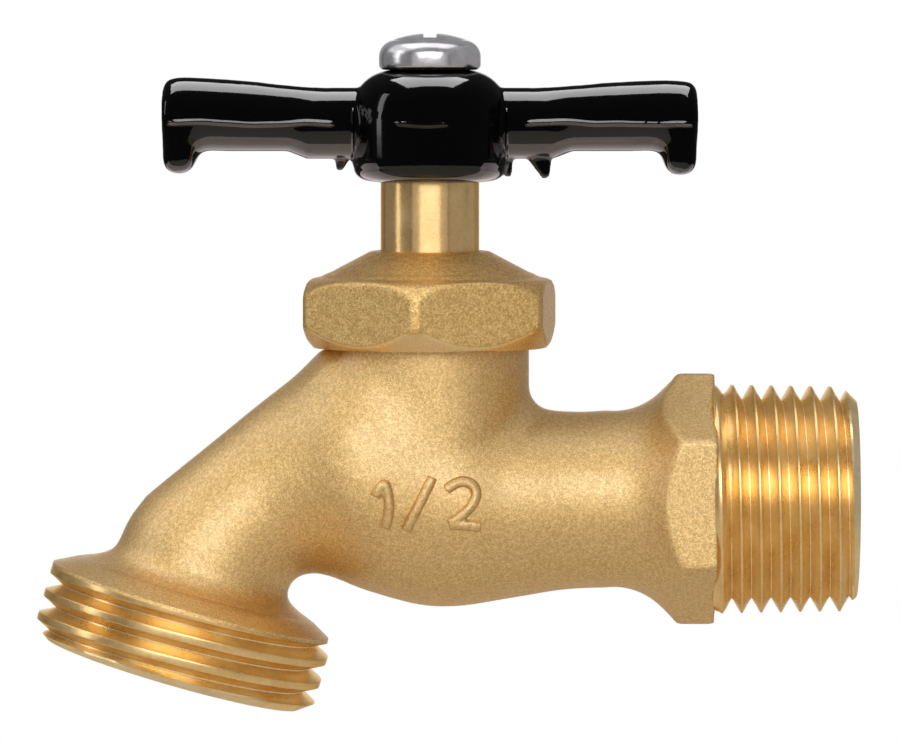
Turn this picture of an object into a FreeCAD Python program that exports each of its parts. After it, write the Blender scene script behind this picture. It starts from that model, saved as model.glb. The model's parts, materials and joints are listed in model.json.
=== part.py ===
import FreeCAD, Part
import math
import os
from types import SimpleNamespace

import Sketcher

# Garden tap: an angled brass hose tap with a T handle. Lengths in millimetres, angles in degrees.
# The origin is the centre of the inlet thread's end face. +X points out of the inlet along its
# axis, +Z points up along the stem, and the spout hangs down on the -X side.

os.makedirs("parts", exist_ok=True)
doc = FreeCAD.newDocument("garden_tap")

SIZES = {
    # Inlet: half inch tapered pipe thread, held here as a cylinder at its largest crest
    "inlet_thread_diameter": 21.3,
    "inlet_thread_length": 13.6,
    "inlet_thread_chamfer": 0.45,
    "inlet_bore_diameter": 12.8,
    "inlet_bore_depth": 30.6,
    "flange_across_flats": 20.4,
    "flange_width": 3.8,
    "flange_edge_round": 0.6,
    "flange_edge_radius": 0.84,
    "tube_diameter": 16.35,
    "flare_radius": 6.2,
    "flare_turn": 45.0,
    # Stem axis and the neck round it
    "stem_from_inlet": 40.0,
    "neck_diameter": 18.4,
    "neck_height": 18.6,
    "neck_blend_radius": 2.2,
    "neck_top_chamfer": 0.6,
    # Cast run under the neck: how far its skin lies below and above the inlet axis
    "throat_from_stem": 11.8,
    "throat_below": 8.5,
    "throat_above": 8.2,
    "swell_from_stem": 6.4,
    "swell_below": 9.4,
    "swell_above": 8.8,
    "belly_from_stem": 3.2,
    "belly_below": 9.9,
    "belly_above": 9.7,
    "seat_below": 9.95,
    "seat_above": 11.0,
    "seat_flattening": 0.7,
    # Cast bend: its sections stand on the underside, which rises from the belly to the round of
    # the crotch (each station's share of that way and of that rise), and reach up to the slope
    "back_way": 0.304,
    "back_rise": 0.227,
    "back_top_from_stem": 4.2,
    "back_above": 13.6,
    "back_flattening": 1.2,
    "shoulder_way": 0.554,
    "shoulder_rise": 0.496,
    "shoulder_flattening": 1.5,
    "hollow_way": 0.759,
    "hollow_rise": 0.794,
    "brow_way": 0.911,
    "brow_rise": 0.972,
    "slope_top_from_stem": 8.66,
    "slope_top_height": 14.64,
    "slope_foot_from_crotch": 17.3,
    "slope_foot_angle": 144.1,
    "crotch_radius": 2.05,
    "crotch_first_angle": 98.0,
    "crotch_second_angle": 120.0,
    "crotch_third_angle": 140.0,
    "knee_angle": 154.0,
    "knee_depth": 16.05,
    # Outlet: three quarter inch garden hose thread, held as a cylinder at its crest
    "outlet_reach": 63.98,
    "outlet_drop": 16.24,
    "outlet_tilt": 16.2,
    "outlet_thread_diameter": 27.0,
    "outlet_thread_length": 7.0,
    "outlet_thread_chamfer": 1.0,
    "outlet_cone_length": 2.5,
    "outlet_mouth_diameter": 18.8,
    "outlet_mouth_depth": 6.0,
    "outlet_mouth_point": 6.1,
    "spout_straight": 10.6,
    # Waterway
    "passage_below_axis": 4.75,
    "passage_entry_below_axis": 3.3,
    "passage_entry_back": 2.6,
    "passage_thickness": 5.8,
    "passage_spread": 5.0,
    "passage_past_stem": 4.8,
    "seat_bore_diameter": 9.0,
    "seat_lip_width": 0.9,
    "seat_lip_height": 0.8,
    "seat_floor_height": 0.5,
    "chamber_diameter": 14.4,
    "chamber_height": 5.6,
    "chamber_cone": 0.9,
    "spout_bore_diameter": 9.6,
    "spout_bore_knee": 11.2,
    "spout_bore_start_out": 3.5,
    "spout_bore_start_up": 7.6,
    "spout_bore_bend": 7.0,
    # Stem and its closing washer
    "stem_diameter": 9.16,
    "stem_thread_diameter": 12.7,
    "stem_thread_length": 7.2,
    "stem_lift": 5.0,
    "disc_diameter": 12.0,
    "disc_thickness": 2.2,
    "seat_washer_diameter": 11.8,
    "seat_washer_thickness": 2.6,
    "washer_screw_diameter": 3.9,
    "washer_screw_length": 4.8,
    "washer_screw_head_diameter": 6.4,
    "washer_screw_head_height": 1.6,
    "washer_screw_slot_width": 0.9,
    "washer_screw_slot_depth": 0.7,
    "drill_point_slope": 0.6,
    # Packing and bonnet
    "packing_washer_thickness": 0.8,
    "packing_width": 2.07,
    "packing_height": 1.7,
    "packing_cone_height": 0.9,
    "bonnet_across_flats": 22.0,
    "bonnet_turn": 6.3,
    "bonnet_lower_edge": 14.1,
    "bonnet_height": 8.95,
    "bonnet_top_diameter": 10.9,
    "bonnet_cone_diameter": 20.2,
    "bonnet_cone_height": 2.45,
    "bonnet_shoulder_height": 2.2,
    "bonnet_shoulder_radius": 2.86,
    "bonnet_chamfer_width": 1.2,
    "bonnet_chamfer_height": 1.6,
    # Handle: a T of cast zinc under a coat of vinyl
    "cover_wall": 0.6,
    "hub_lower_edge": 29.42,
    "hub_height": 10.38,
    "hub_diameter": 14.5,
    "hub_top_round": 3.8,
    "hub_lower_round": 2.1,
    "arm_length": 24.8,
    "arm_top_at_hub": 8.4,
    "arm_top_at_tip": 9.5,
    "arm_underside": 2.85,
    "arm_flattening": 0.1,
    "arm_tip_round": 0.9,
    "collar_drop": 0.85,
    "collar_length": 11.4,
    "collar_taper": 2.2,
    "collar_sink": 0.15,
    "foot_drop": 2.15,
    "foot_length": 3.6,
    "foot_from_tip": 0.15,
    "foot_thickness": 6.8,
    "square_flats": 6.4,
    "square_lower_edge": 30.2,
    "square_height": 8.4,
    "screw_diameter": 4.9,
    "screw_length": 9.0,
    "screw_head_diameter": 9.5,
    "screw_head_height": 3.47,
    "screw_rim_height": 1.2,
    "screw_rim_round": 0.5,
    "screw_crown_diameter": 6.8,
    "screw_crown_height": 0.68,
    "recess_width": 1.1,
    "recess_span": 5.2,
    "recess_depth": 2.0,
    # Clearances, each on the radius or on one side
    "thread_clearance": 0.05,
    "running_clearance": 0.05,
    "stop_clearance": 0.2,
    "seating_clearance": 0.2,
    "cut_margin": 4.0,
}

sheet = doc.addObject("Spreadsheet::Sheet", "Sizes")
for row, (name, number) in enumerate(SIZES.items(), start=1):
    sheet.set(f"A{row}", name)
    sheet.set(f"B{row}", str(number))
    sheet.setAlias(f"B{row}", name)
doc.recompute()


class Size:
    """A length or an angle: its number now, and the sheet formula that it follows."""

    def __init__(self, number, formula):
        self.number = number
        self.formula = formula

    def __add__(self, other):
        other = as_size(other)
        return Size(self.number + other.number, f"({self.formula} + {other.formula})")

    def __sub__(self, other):
        other = as_size(other)
        return Size(self.number - other.number, f"({self.formula} - {other.formula})")

    def __mul__(self, other):
        other = as_size(other)
        return Size(self.number * other.number, f"({self.formula} * {other.formula})")

    def __truediv__(self, other):
        other = as_size(other)
        return Size(self.number / other.number, f"({self.formula} / {other.formula})")

    def __neg__(self):
        return as_size(0) - self

    __radd__ = __add__
    __rmul__ = __mul__

    def __rsub__(self, other):
        return as_size(other) - self


def as_size(value):
    """Let a bare number take part in a formula."""
    return value if isinstance(value, Size) else Size(float(value), str(float(value)))


def cosine(angle):
    angle = as_size(angle)
    return Size(math.cos(math.radians(angle.number)), f"cos({angle.formula})")


def sine(angle):
    angle = as_size(angle)
    return Size(math.sin(math.radians(angle.number)), f"sin({angle.formula})")


def square_root(value):
    return Size(math.sqrt(value.number), f"sqrt({value.formula})")


def slope_of(rise, run):
    """The angle of a line from how far it rises and how far it runs."""
    angle = math.degrees(math.atan2(rise.number, run.number))
    return Size(angle, f"(atan2({rise.formula}; {run.formula}) / 1 deg)")


sizes = SimpleNamespace(**{name: Size(number, f"Sizes.{name}") for name, number in SIZES.items()})


def bind(thing, path, value):
    """Tie one property of a thing to its formula."""
    thing.setExpression(path, as_size(value).formula)


def move(thing, along=0, across=0, up=0):
    """Tie the place of a thing to its formulas."""
    for axis, value in zip("xyz", (along, across, up)):
        bind(thing, f"Placement.Base.{axis}", value)


# Sketches

def sketch_on(body, name, plane="XZ_Plane", along=0, up=0, out=0, turn=0):
    """Start a sketch on one of the body's own planes, shifted in it, off it and turned in it."""
    sketch = body.newObject("Sketcher::SketchObject", name)
    support = next(item for item in body.Origin.OriginFeatures if item.Role == plane)
    sketch.AttachmentSupport = [(support, "")]
    sketch.MapMode = "FlatFace"
    bind(sketch, "AttachmentOffset.Base.x", along)
    bind(sketch, "AttachmentOffset.Base.y", up)
    bind(sketch, "AttachmentOffset.Base.z", out)
    bind(sketch, "AttachmentOffset.Rotation.Angle", turn)
    return sketch


def dimension(sketch, kind, targets, value):
    """Add one dimension and tie it to its formula."""
    value = as_size(value)
    index = sketch.addConstraint(Sketcher.Constraint(kind, *targets, value.number))
    bind(sketch, f"Constraints[{index}]", value)


def draw(sketch, outline):
    """Draw a closed outline. A pair is a corner, and a single size between two corners is the
    radius of the arc that joins them: positive turns left, negative turns right."""
    corners = [entry for entry in outline if isinstance(entry, tuple)]
    bends = {}
    passed = 0
    for entry in outline:
        if isinstance(entry, tuple):
            passed += 1
        else:
            bends[passed - 1] = entry
    places = [FreeCAD.Vector(as_size(x).number, as_size(y).number, 0) for x, y in corners]
    ends = []
    for index, start in enumerate(places):
        finish = places[(index + 1) % len(places)]
        if index in bends:
            ends.append(add_arc(sketch, start, finish, bends[index]))
        else:
            line = sketch.addGeometry(Part.LineSegment(start, finish))
            ends.append((line, 1, 2))
    for index, (edge, first, last) in enumerate(ends):
        following, begin, unused = ends[(index + 1) % len(ends)]
        sketch.addConstraint(Sketcher.Constraint("Coincident", edge, last, following, begin))
        x, y = corners[index]
        dimension(sketch, "DistanceX", (edge, first), x)
        dimension(sketch, "DistanceY", (edge, first), y)
        if index in bends:
            radius = as_size(bends[index])
            dimension(sketch, "Radius", (edge,), radius if radius.number > 0 else -radius)


def add_arc(sketch, start, finish, bend):
    """Add the shorter arc from start to finish, and return which of its ends comes first."""
    radius = as_size(bend).number
    chord = finish - start
    middle = (start + finish) * 0.5
    left = FreeCAD.Vector(-chord.y, chord.x, 0).normalize()
    rise = math.sqrt(max(radius ** 2 - (chord.Length / 2) ** 2, 0))
    centre = middle + left * (rise if radius > 0 else -rise)
    first, last = (start, finish) if radius > 0 else (finish, start)
    angles = [math.atan2(point.y - centre.y, point.x - centre.x) for point in (first, last)]
    if angles[1] < angles[0]:
        angles[1] += 2 * math.pi
    circle = Part.Circle(centre, FreeCAD.Vector(0, 0, 1), abs(radius))
    arc = sketch.addGeometry(Part.ArcOfCircle(circle, *angles))
    return (arc, 1, 2) if radius > 0 else (arc, 2, 1)


def draw_circle(sketch, radius):
    """Draw a circle about the sketch's origin."""
    radius = as_size(radius)
    circle = Part.Circle(FreeCAD.Vector(), FreeCAD.Vector(0, 0, 1), radius.number)
    index = sketch.addGeometry(circle)
    sketch.addConstraint(Sketcher.Constraint("Coincident", index, 3, -1, 1))
    dimension(sketch, "Radius", (index,), radius)


def polygon(sides, across_flats, turn):
    """Corners of a regular polygon, the first one at the angle turn."""
    radius = across_flats / (2 * cosine(180 / sides))
    corners = []
    for step in range(sides):
        angle = turn + step * 360 / sides
        corners.append((radius * cosine(angle), radius * sine(angle)))
    return corners


# Features

def new_body(label):
    body = doc.addObject("PartDesign::Body", label)
    body.Label = label
    return body


def revolve(body, name, sketch, axis="V_Axis", kind="Revolution"):
    """Turn a sketch a full circle, to add a Revolution or to take away a Groove."""
    feature = body.newObject(f"PartDesign::{kind}", name)
    feature.Profile = sketch
    feature.ReferenceAxis = (sketch, [axis])
    feature.Angle = 360
    return feature


def trim_to(body, name, sketch, depth=None, upward=False, both=False):
    """Cut away what lies between two closed lines of a sketch, or inside one."""
    feature = body.newObject("PartDesign::Pocket", name)
    feature.Profile = sketch
    feature.Type = "ThroughAll"
    if depth is not None:
        feature.Type = "Length"
        bind(feature, "Length", depth)
    feature.Reversed = upward
    feature.SideType = "Symmetric" if both else "One side"
    return feature


def turned_piece(label, outline):
    """A piece turned about the stem axis, from the outline of its half section."""
    body = new_body(label)
    move(body, along=-sizes.stem_from_inlet)
    sketch = sketch_on(body, f"{label}_section")
    draw(sketch, outline)
    revolve(body, f"{label}_turned", sketch)
    return body


def ellipse(name, along, up, tall, deep, lean):
    """An upright ellipse across the run: tall and deep are its half sizes, and lean turns it."""
    section = doc.addObject("Part::Ellipse", name)
    bind(section, "MajorRadius", tall)
    bind(section, "MinorRadius", deep)
    move(section, along=along, up=up)
    section.Placement.Rotation = FreeCAD.Rotation(FreeCAD.Vector(0, 1, 0), 90)
    bind(section, "Placement.Rotation.Angle", lean)
    return section


def loft(name, sections):
    skin = doc.addObject("Part::Loft", name)
    skin.Sections = sections
    skin.Solid = True
    skin.Ruled = False
    return skin


def fuse(name, pieces):
    joined = doc.addObject("Part::MultiFuse", name)
    joined.Shapes = pieces
    joined.Refine = True
    return joined


def cut(name, base, tool):
    result = doc.addObject("Part::Cut", name)
    result.Label = name
    result.Base = base
    result.Tool = tool
    result.Refine = True
    return result


# Heights that several pieces share

tube_radius = sizes.tube_diameter / 2
neck_radius = sizes.neck_diameter / 2
stem_radius = sizes.stem_diameter / 2
stem_passage = stem_radius + sizes.running_clearance
seat_top = sizes.seat_floor_height + sizes.seat_lip_height
disc_base = seat_top + sizes.seat_washer_thickness
packing_radius = stem_passage + sizes.packing_width
packing_base = sizes.neck_height + sizes.packing_washer_thickness
packing_shoulder = packing_base + sizes.packing_height
packing_top = packing_shoulder + sizes.packing_cone_height
bonnet_top = sizes.bonnet_lower_edge + sizes.bonnet_height
square_top = sizes.square_lower_edge + sizes.square_height
hub_top = sizes.hub_lower_edge + sizes.hub_height
outlet_cone_start = sizes.outlet_thread_length + sizes.outlet_cone_length
flattened_sections = 4


# Valve body: the casting

def on_spout(from_end, side=0):
    """A point up the spout's axis from the outlet's end face, and off it to the inlet's side."""
    tilt = sizes.outlet_tilt
    along = from_end * sine(tilt) + side * cosine(tilt) - sizes.outlet_reach
    up = from_end * cosine(tilt) - side * sine(tilt) - sizes.outlet_drop
    return along, up


def from_crotch(angle, distance):
    """A point at an angle and a distance from the centre of the crotch's round."""
    along, up = on_spout(sizes.spout_straight, sizes.crotch_radius + tube_radius)
    return along + distance * cosine(angle), up + distance * sine(angle)


def on_underside(way, rise):
    """A point between the belly's lowest point, under the stem, and the top of the crotch."""
    start = (-sizes.stem_from_inlet, -sizes.seat_below)
    finish = from_crotch(90, sizes.crotch_radius)
    return start[0] + (finish[0] - start[0]) * way, start[1] + (finish[1] - start[1]) * rise


def run_section(name, along, below, above, flattening=0):
    """An upright section of the run, from how far it reaches below and above the inlet axis."""
    tall = (below + above) / 2
    return ellipse(f"run_{name}", along, (above - below) / 2, tall, tall - flattening, 90)


def leaning_section(name, low, high, flattening=0):
    """A section of the bend from its lowest point, on the underside, to its highest."""
    run = high[0] - low[0]
    rise = high[1] - low[1]
    tall = square_root(run * run + rise * rise) / 2
    return ellipse(f"bend_{name}", (low[0] + high[0]) / 2, (low[1] + high[1]) / 2,
                   tall, tall - flattening, 180 - slope_of(rise, run))


def bend_sections():
    """Sections that turn step by step from upright, beside the neck, to square with the spout."""
    stem = -sizes.stem_from_inlet
    top = (stem - sizes.slope_top_from_stem, sizes.slope_top_height)
    foot = from_crotch(sizes.slope_foot_angle, sizes.slope_foot_from_crotch)
    lows = [
        on_underside(sizes.shoulder_way, sizes.shoulder_rise),
        on_underside(sizes.hollow_way, sizes.hollow_rise),
        on_underside(sizes.brow_way, sizes.brow_rise),
        from_crotch(sizes.crotch_first_angle, sizes.crotch_radius),
        from_crotch(sizes.crotch_second_angle, sizes.crotch_radius),
        from_crotch(sizes.crotch_third_angle, sizes.crotch_radius),
    ]
    sections = [leaning_section(
        "back", on_underside(sizes.back_way, sizes.back_rise),
        (stem - sizes.back_top_from_stem, sizes.back_above), sizes.back_flattening)]
    for index, low in enumerate(lows):
        share = index / (len(lows) - 1)
        high = (top[0] + (foot[0] - top[0]) * share, top[1] + (foot[1] - top[1]) * share)
        flatness = max(0, 1 - index / flattened_sections)
        sections.append(leaning_section(f"slope_{index}", low, high,
                                        sizes.shoulder_flattening * flatness))
    for name, angle, depth in (
        ("knee", sizes.knee_angle, sizes.knee_depth),
        ("spout", 180 - sizes.outlet_tilt, sizes.tube_diameter),
    ):
        sections.append(leaning_section(name, from_crotch(angle, sizes.crotch_radius),
                                        from_crotch(angle, sizes.crotch_radius + depth)))
    return sections


def spout_section(name, from_end):
    """A round section of the straight spout, at a distance up from the outlet's end face."""
    along, up = on_spout(from_end)
    return ellipse(f"spout_{name}", along, up, tube_radius, tube_radius, sizes.outlet_tilt)


def flare_end():
    """How far along and out the flare's arc reaches from where it leaves the tube."""
    along = sizes.flare_radius * sine(sizes.flare_turn)
    out = sizes.flare_radius * (1 - cosine(sizes.flare_turn))
    return along, out


def inlet_corners():
    """Half section of the inlet end, from the flare to the end of the thread."""
    flange_radius = sizes.flange_across_flats / (2 * cosine(30))
    thread_radius = sizes.inlet_thread_diameter / 2
    flare_along, flare_out = flare_end()
    rim = flange_radius - sizes.flange_edge_round
    cone_along = (rim - tube_radius - flare_out) * cosine(sizes.flare_turn) / sine(sizes.flare_turn)
    flange_face = -sizes.inlet_thread_length
    flange_back = flange_face - sizes.flange_width
    cone_start = flange_back - cone_along
    tube_end = cone_start - flare_along
    outline = [
        (tube_end, 0),
        (0, 0),
        (0, thread_radius - sizes.inlet_thread_chamfer),
        (-sizes.inlet_thread_chamfer, thread_radius),
        (flange_face, thread_radius),
        (flange_face, flange_radius),
        (flange_back + sizes.flange_edge_round, flange_radius),
        sizes.flange_edge_radius,
        (flange_back, rim),
        (cone_start, tube_radius + flare_out),
        -sizes.flare_radius,
        (tube_end, tube_radius),
    ]
    return tube_end, outline


def outlet_outline():
    """Half section of the outlet end, on the inlet's side of the spout's axis, end face first."""
    crest = -sizes.outlet_thread_diameter / 2
    return [
        (0, 0),
        (0, crest + sizes.outlet_thread_chamfer),
        (sizes.outlet_thread_chamfer, crest),
        (sizes.outlet_thread_length, crest),
        (outlet_cone_start, -tube_radius),
        (outlet_cone_start, 0),
    ]


def cast_run(tube_end):
    """The smooth skin from the inlet tube under the neck and round to the spout."""
    stem = -sizes.stem_from_inlet
    throat = stem + sizes.throat_from_stem
    swell = stem + sizes.swell_from_stem
    sleeve = (tube_end * 3 + throat) / 4
    return loft("cast_run", [
        run_section("tube", tube_end, tube_radius, tube_radius),
        run_section("sleeve", sleeve, (tube_radius * 3 + sizes.throat_below) / 4,
                    (tube_radius * 3 + sizes.throat_above) / 4),
        run_section("throat", throat, sizes.throat_below, sizes.throat_above),
        run_section("rise", (throat + swell) / 2, (sizes.throat_below + sizes.swell_below) / 2,
                    (sizes.throat_above + sizes.swell_above) / 2),
        run_section("swell", swell, sizes.swell_below, sizes.swell_above),
        run_section("belly", stem + sizes.belly_from_stem, sizes.belly_below,
                    sizes.belly_above),
        run_section("seat", stem, sizes.seat_below, sizes.seat_above, sizes.seat_flattening),
        *bend_sections(),
        spout_section("end", outlet_cone_start),
    ])


def neck_edges(shape):
    """Names of the edges where the neck's wall meets the cast run."""
    names = []
    radius = sizes.neck_diameter.number / 2
    for index, edge in enumerate(shape.Edges, start=1):
        points = edge.discretize(7)
        offsets = [math.hypot(p.x + sizes.stem_from_inlet.number, p.y) - radius for p in points]
        heights = [p.z for p in points]
        on_wall = max(abs(offset) for offset in offsets) < 0.01
        upright = len({round(p.x, 3) for p in points}) == 1
        below_top = max(heights) < sizes.neck_height.number - 1
        if on_wall and below_top and not upright:
            names.append(f"Edge{index}")
    return names


def make_casting():
    tube_end, inlet_outline = inlet_corners()
    casting = new_body("casting")
    casting.BaseFeature = cast_run(tube_end)
    doc.recompute()

    stem = -sizes.stem_from_inlet
    section = sketch_on(casting, "neck_section", along=stem)
    draw(section, [
        (0, 0),
        (neck_radius, 0),
        (neck_radius, sizes.neck_height - sizes.neck_top_chamfer),
        (neck_radius - sizes.neck_top_chamfer, sizes.neck_height),
        (0, sizes.neck_height),
    ])
    neck = revolve(casting, "neck", section)
    doc.recompute()

    blend = casting.newObject("PartDesign::Fillet", "neck_blend")
    blend.Base = (neck, neck_edges(neck.Shape))
    bind(blend, "Radius", sizes.neck_blend_radius)
    doc.recompute()

    section = sketch_on(casting, "inlet_section")
    draw(section, inlet_outline)
    revolve(casting, "inlet_end", section, axis="H_Axis")

    section = sketch_on(casting, "outlet_section", along=-sizes.outlet_reach,
                        up=-sizes.outlet_drop, turn=90 - sizes.outlet_tilt)
    draw(section, outlet_outline())
    revolve(casting, "outlet_end", section, axis="H_Axis")

    flats = sketch_on(casting, "flange_flats", plane="YZ_Plane", out=-sizes.inlet_thread_length)
    draw_circle(flats, sizes.flange_across_flats)
    draw(flats, polygon(6, sizes.flange_across_flats, as_size(90)))
    trim_to(casting, "flange_hexagon", flats, depth=-tube_end - sizes.inlet_thread_length)

    facing = sketch_on(casting, "bonnet_facing_section", along=stem)
    facing_base = sizes.bonnet_lower_edge - sizes.seating_clearance
    draw(facing, [
        (neck_radius, facing_base),
        (neck_radius + sizes.cut_margin, facing_base),
        (neck_radius + sizes.cut_margin, sizes.neck_height),
        (neck_radius, sizes.neck_height),
    ])
    revolve(casting, "bonnet_facing", facing, kind="Groove")
    return casting


# Valve body: the core that leaves the waterway

def chamber_core():
    """The turned part of the core: seat bore, ring round the seat lip, chamber and stem thread."""
    body = new_body("chamber_core")
    section = sketch_on(body, "chamber_section", along=-sizes.stem_from_inlet)
    seat_radius = sizes.seat_bore_diameter / 2
    lip_radius = seat_radius + sizes.seat_lip_width
    chamber_radius = sizes.chamber_diameter / 2
    thread_radius = sizes.stem_thread_diameter / 2 + sizes.thread_clearance
    chamber_top = sizes.seat_floor_height + sizes.chamber_height
    top = sizes.neck_height + sizes.cut_margin
    draw(section, [
        (0, -sizes.passage_below_axis),
        (seat_radius, -sizes.passage_below_axis),
        (seat_radius, seat_top),
        (lip_radius, seat_top),
        (lip_radius, sizes.seat_floor_height),
        (chamber_radius, sizes.seat_floor_height),
        (chamber_radius, chamber_top),
        (thread_radius, chamber_top + sizes.chamber_cone),
        (thread_radius, top),
        (0, top),
    ])
    revolve(body, "chamber_turned", section)
    return body


def passage_section(name, along, below_axis):
    """A flat oval of the passage under the seat. Its long side lies across the tap."""
    half = sizes.passage_thickness / 2
    section = doc.addObject("Part::Ellipse", f"passage_{name}")
    bind(section, "MajorRadius", half + sizes.passage_spread / 2)
    bind(section, "MinorRadius", half)
    move(section, along=along, up=-below_axis)
    section.Placement.Rotation = FreeCAD.Rotation(FreeCAD.Vector(1, 1, 1), 120)
    return section


def spout_bore():
    """The bent part of the core, from the chamber down the slope and into the mouth."""
    start_along = -sizes.stem_from_inlet - sizes.spout_bore_start_out
    start_up = sizes.spout_bore_start_up
    knee_along, knee_up = on_spout(sizes.spout_bore_knee)
    slope = slope_of(start_up - knee_up, start_along - knee_along)
    steep = 90 - sizes.outlet_tilt
    path = doc.addObject("Sketcher::SketchObject", "spout_bore_path")
    path.Placement.Rotation = FreeCAD.Rotation(FreeCAD.Vector(1, 0, 0), 90)
    start = FreeCAD.Vector(start_along.number, start_up.number, 0)
    knee = FreeCAD.Vector(knee_along.number, knee_up.number, 0)
    finish = FreeCAD.Vector(-sizes.outlet_reach.number, -sizes.outlet_drop.number, 0)
    turn = math.radians(steep.number - slope.number)
    trim = sizes.spout_bore_bend.number * math.tan(turn / 2)
    bend_start = knee + (start - knee).normalize() * trim
    bend_finish = knee + (finish - knee).normalize() * trim
    first = path.addGeometry(Part.LineSegment(start, bend_start))
    arc, arc_first, arc_last = add_arc(path, bend_start, bend_finish, sizes.spout_bore_bend)
    last = path.addGeometry(Part.LineSegment(bend_finish, finish))
    path.addConstraint(Sketcher.Constraint("Tangent", first, 2, arc, arc_first))
    path.addConstraint(Sketcher.Constraint("Tangent", arc, arc_last, last, 1))
    dimension(path, "DistanceX", (first, 1), start_along)
    dimension(path, "DistanceY", (first, 1), start_up)
    dimension(path, "DistanceX", (last, 2), -sizes.outlet_reach)
    dimension(path, "DistanceY", (last, 2), -sizes.outlet_drop)
    dimension(path, "Radius", (arc,), sizes.spout_bore_bend)
    for edge, lean in ((first, slope), (last, steep)):
        direction = math.radians(180 + lean.number)
        index = path.addConstraint(Sketcher.Constraint("Angle", edge, direction))
        path.setExpression(f"Constraints[{index}]", f"({(180 + lean).formula}) * 1 deg")

    ring = doc.addObject("Part::Circle", "spout_bore_ring")
    bind(ring, "Radius", sizes.spout_bore_diameter / 2)
    move(ring, along=start_along, up=start_up)
    ring.Placement.Rotation = FreeCAD.Rotation(FreeCAD.Vector(0, 1, 0), 45)
    bind(ring, "Placement.Rotation.Angle", 90 - slope)
    doc.recompute()

    bore = doc.addObject("Part::Sweep", "spout_bore")
    bore.Sections = [ring]
    bore.Spine = (path, ["Edge1", "Edge2", "Edge3"])
    bore.Solid = True
    return bore


def mouth_core():
    """The wide mouth of the outlet, as left by a drill whose point opens the bore into it."""
    body = new_body("mouth_core")
    section = sketch_on(body, "mouth_section", along=-sizes.outlet_reach,
                        up=-sizes.outlet_drop, turn=90 - sizes.outlet_tilt)
    mouth_radius = sizes.outlet_mouth_diameter / 2
    draw(section, [
        (-sizes.cut_margin, 0),
        (-sizes.cut_margin, mouth_radius),
        (sizes.outlet_mouth_depth, mouth_radius),
        (sizes.outlet_mouth_depth + sizes.outlet_mouth_point, 0),
    ])
    revolve(body, "mouth_turned", section, axis="H_Axis")
    return body


def inlet_bore():
    bore = doc.addObject("Part::Cylinder", "inlet_bore")
    bind(bore, "Radius", sizes.inlet_bore_diameter / 2)
    bind(bore, "Height", sizes.inlet_bore_depth + sizes.cut_margin)
    bore.Placement.Rotation = FreeCAD.Rotation(FreeCAD.Vector(0, 1, 0), 90)
    move(bore, along=-sizes.inlet_bore_depth)
    return bore


def make_waterway_core():
    entry = sizes.passage_entry_back - sizes.inlet_bore_depth
    end = -sizes.stem_from_inlet - sizes.passage_past_stem
    passage = loft("seat_passage", [
        passage_section("entry", entry, sizes.passage_entry_below_axis),
        passage_section("under_seat", -sizes.stem_from_inlet, sizes.passage_below_axis),
        passage_section("end", end, sizes.passage_below_axis),
    ])
    return fuse("waterway_core", [inlet_bore(), passage, chamber_core(), spout_bore(), mouth_core()])


def make_valve_body():
    return cut("valve_body", make_casting(), make_waterway_core())


# Bonnet and packing

def make_bonnet():
    """Hexagon cap nut: it screws over the neck and presses the packing on the stem."""
    corner = sizes.bonnet_across_flats / (2 * cosine(30))
    cone_edge = bonnet_top - sizes.bonnet_cone_height
    cone_radius = sizes.bonnet_cone_diameter / 2
    cavity_radius = packing_radius + sizes.running_clearance
    bore_radius = neck_radius + sizes.thread_clearance
    cavity_base = packing_base + sizes.seating_clearance
    chamfer_top = sizes.bonnet_lower_edge + sizes.bonnet_chamfer_height
    bonnet = turned_piece("bonnet", [
        (bore_radius, sizes.bonnet_lower_edge),
        (corner - sizes.bonnet_chamfer_width, sizes.bonnet_lower_edge),
        (corner, chamfer_top),
        (corner, cone_edge - sizes.bonnet_shoulder_height),
        sizes.bonnet_shoulder_radius,
        (cone_radius, cone_edge),
        (sizes.bonnet_top_diameter / 2, bonnet_top),
        (stem_passage, bonnet_top),
        (stem_passage, packing_top),
        (cavity_radius, packing_shoulder),
        (cavity_radius, cavity_base),
        (bore_radius, cavity_base),
    ])
    flats = sketch_on(bonnet, "bonnet_flats", plane="XY_Plane")
    draw_circle(flats, corner + sizes.cut_margin)
    draw(flats, polygon(6, sizes.bonnet_across_flats, 30 - sizes.bonnet_turn))
    trim_to(bonnet, "bonnet_hexagon", flats, both=True)
    return bonnet


def make_packing():
    inner = stem_passage
    turned_piece("packing_washer", [
        (inner, sizes.neck_height),
        (neck_radius - sizes.neck_top_chamfer, sizes.neck_height),
        (neck_radius - sizes.neck_top_chamfer, packing_base),
        (inner, packing_base),
    ])
    turned_piece("packing_ring", [
        (inner, packing_base),
        (packing_radius, packing_base),
        (packing_radius, packing_shoulder),
        (inner, packing_top),
    ])


# Stem, seat washer and its screw

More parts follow.
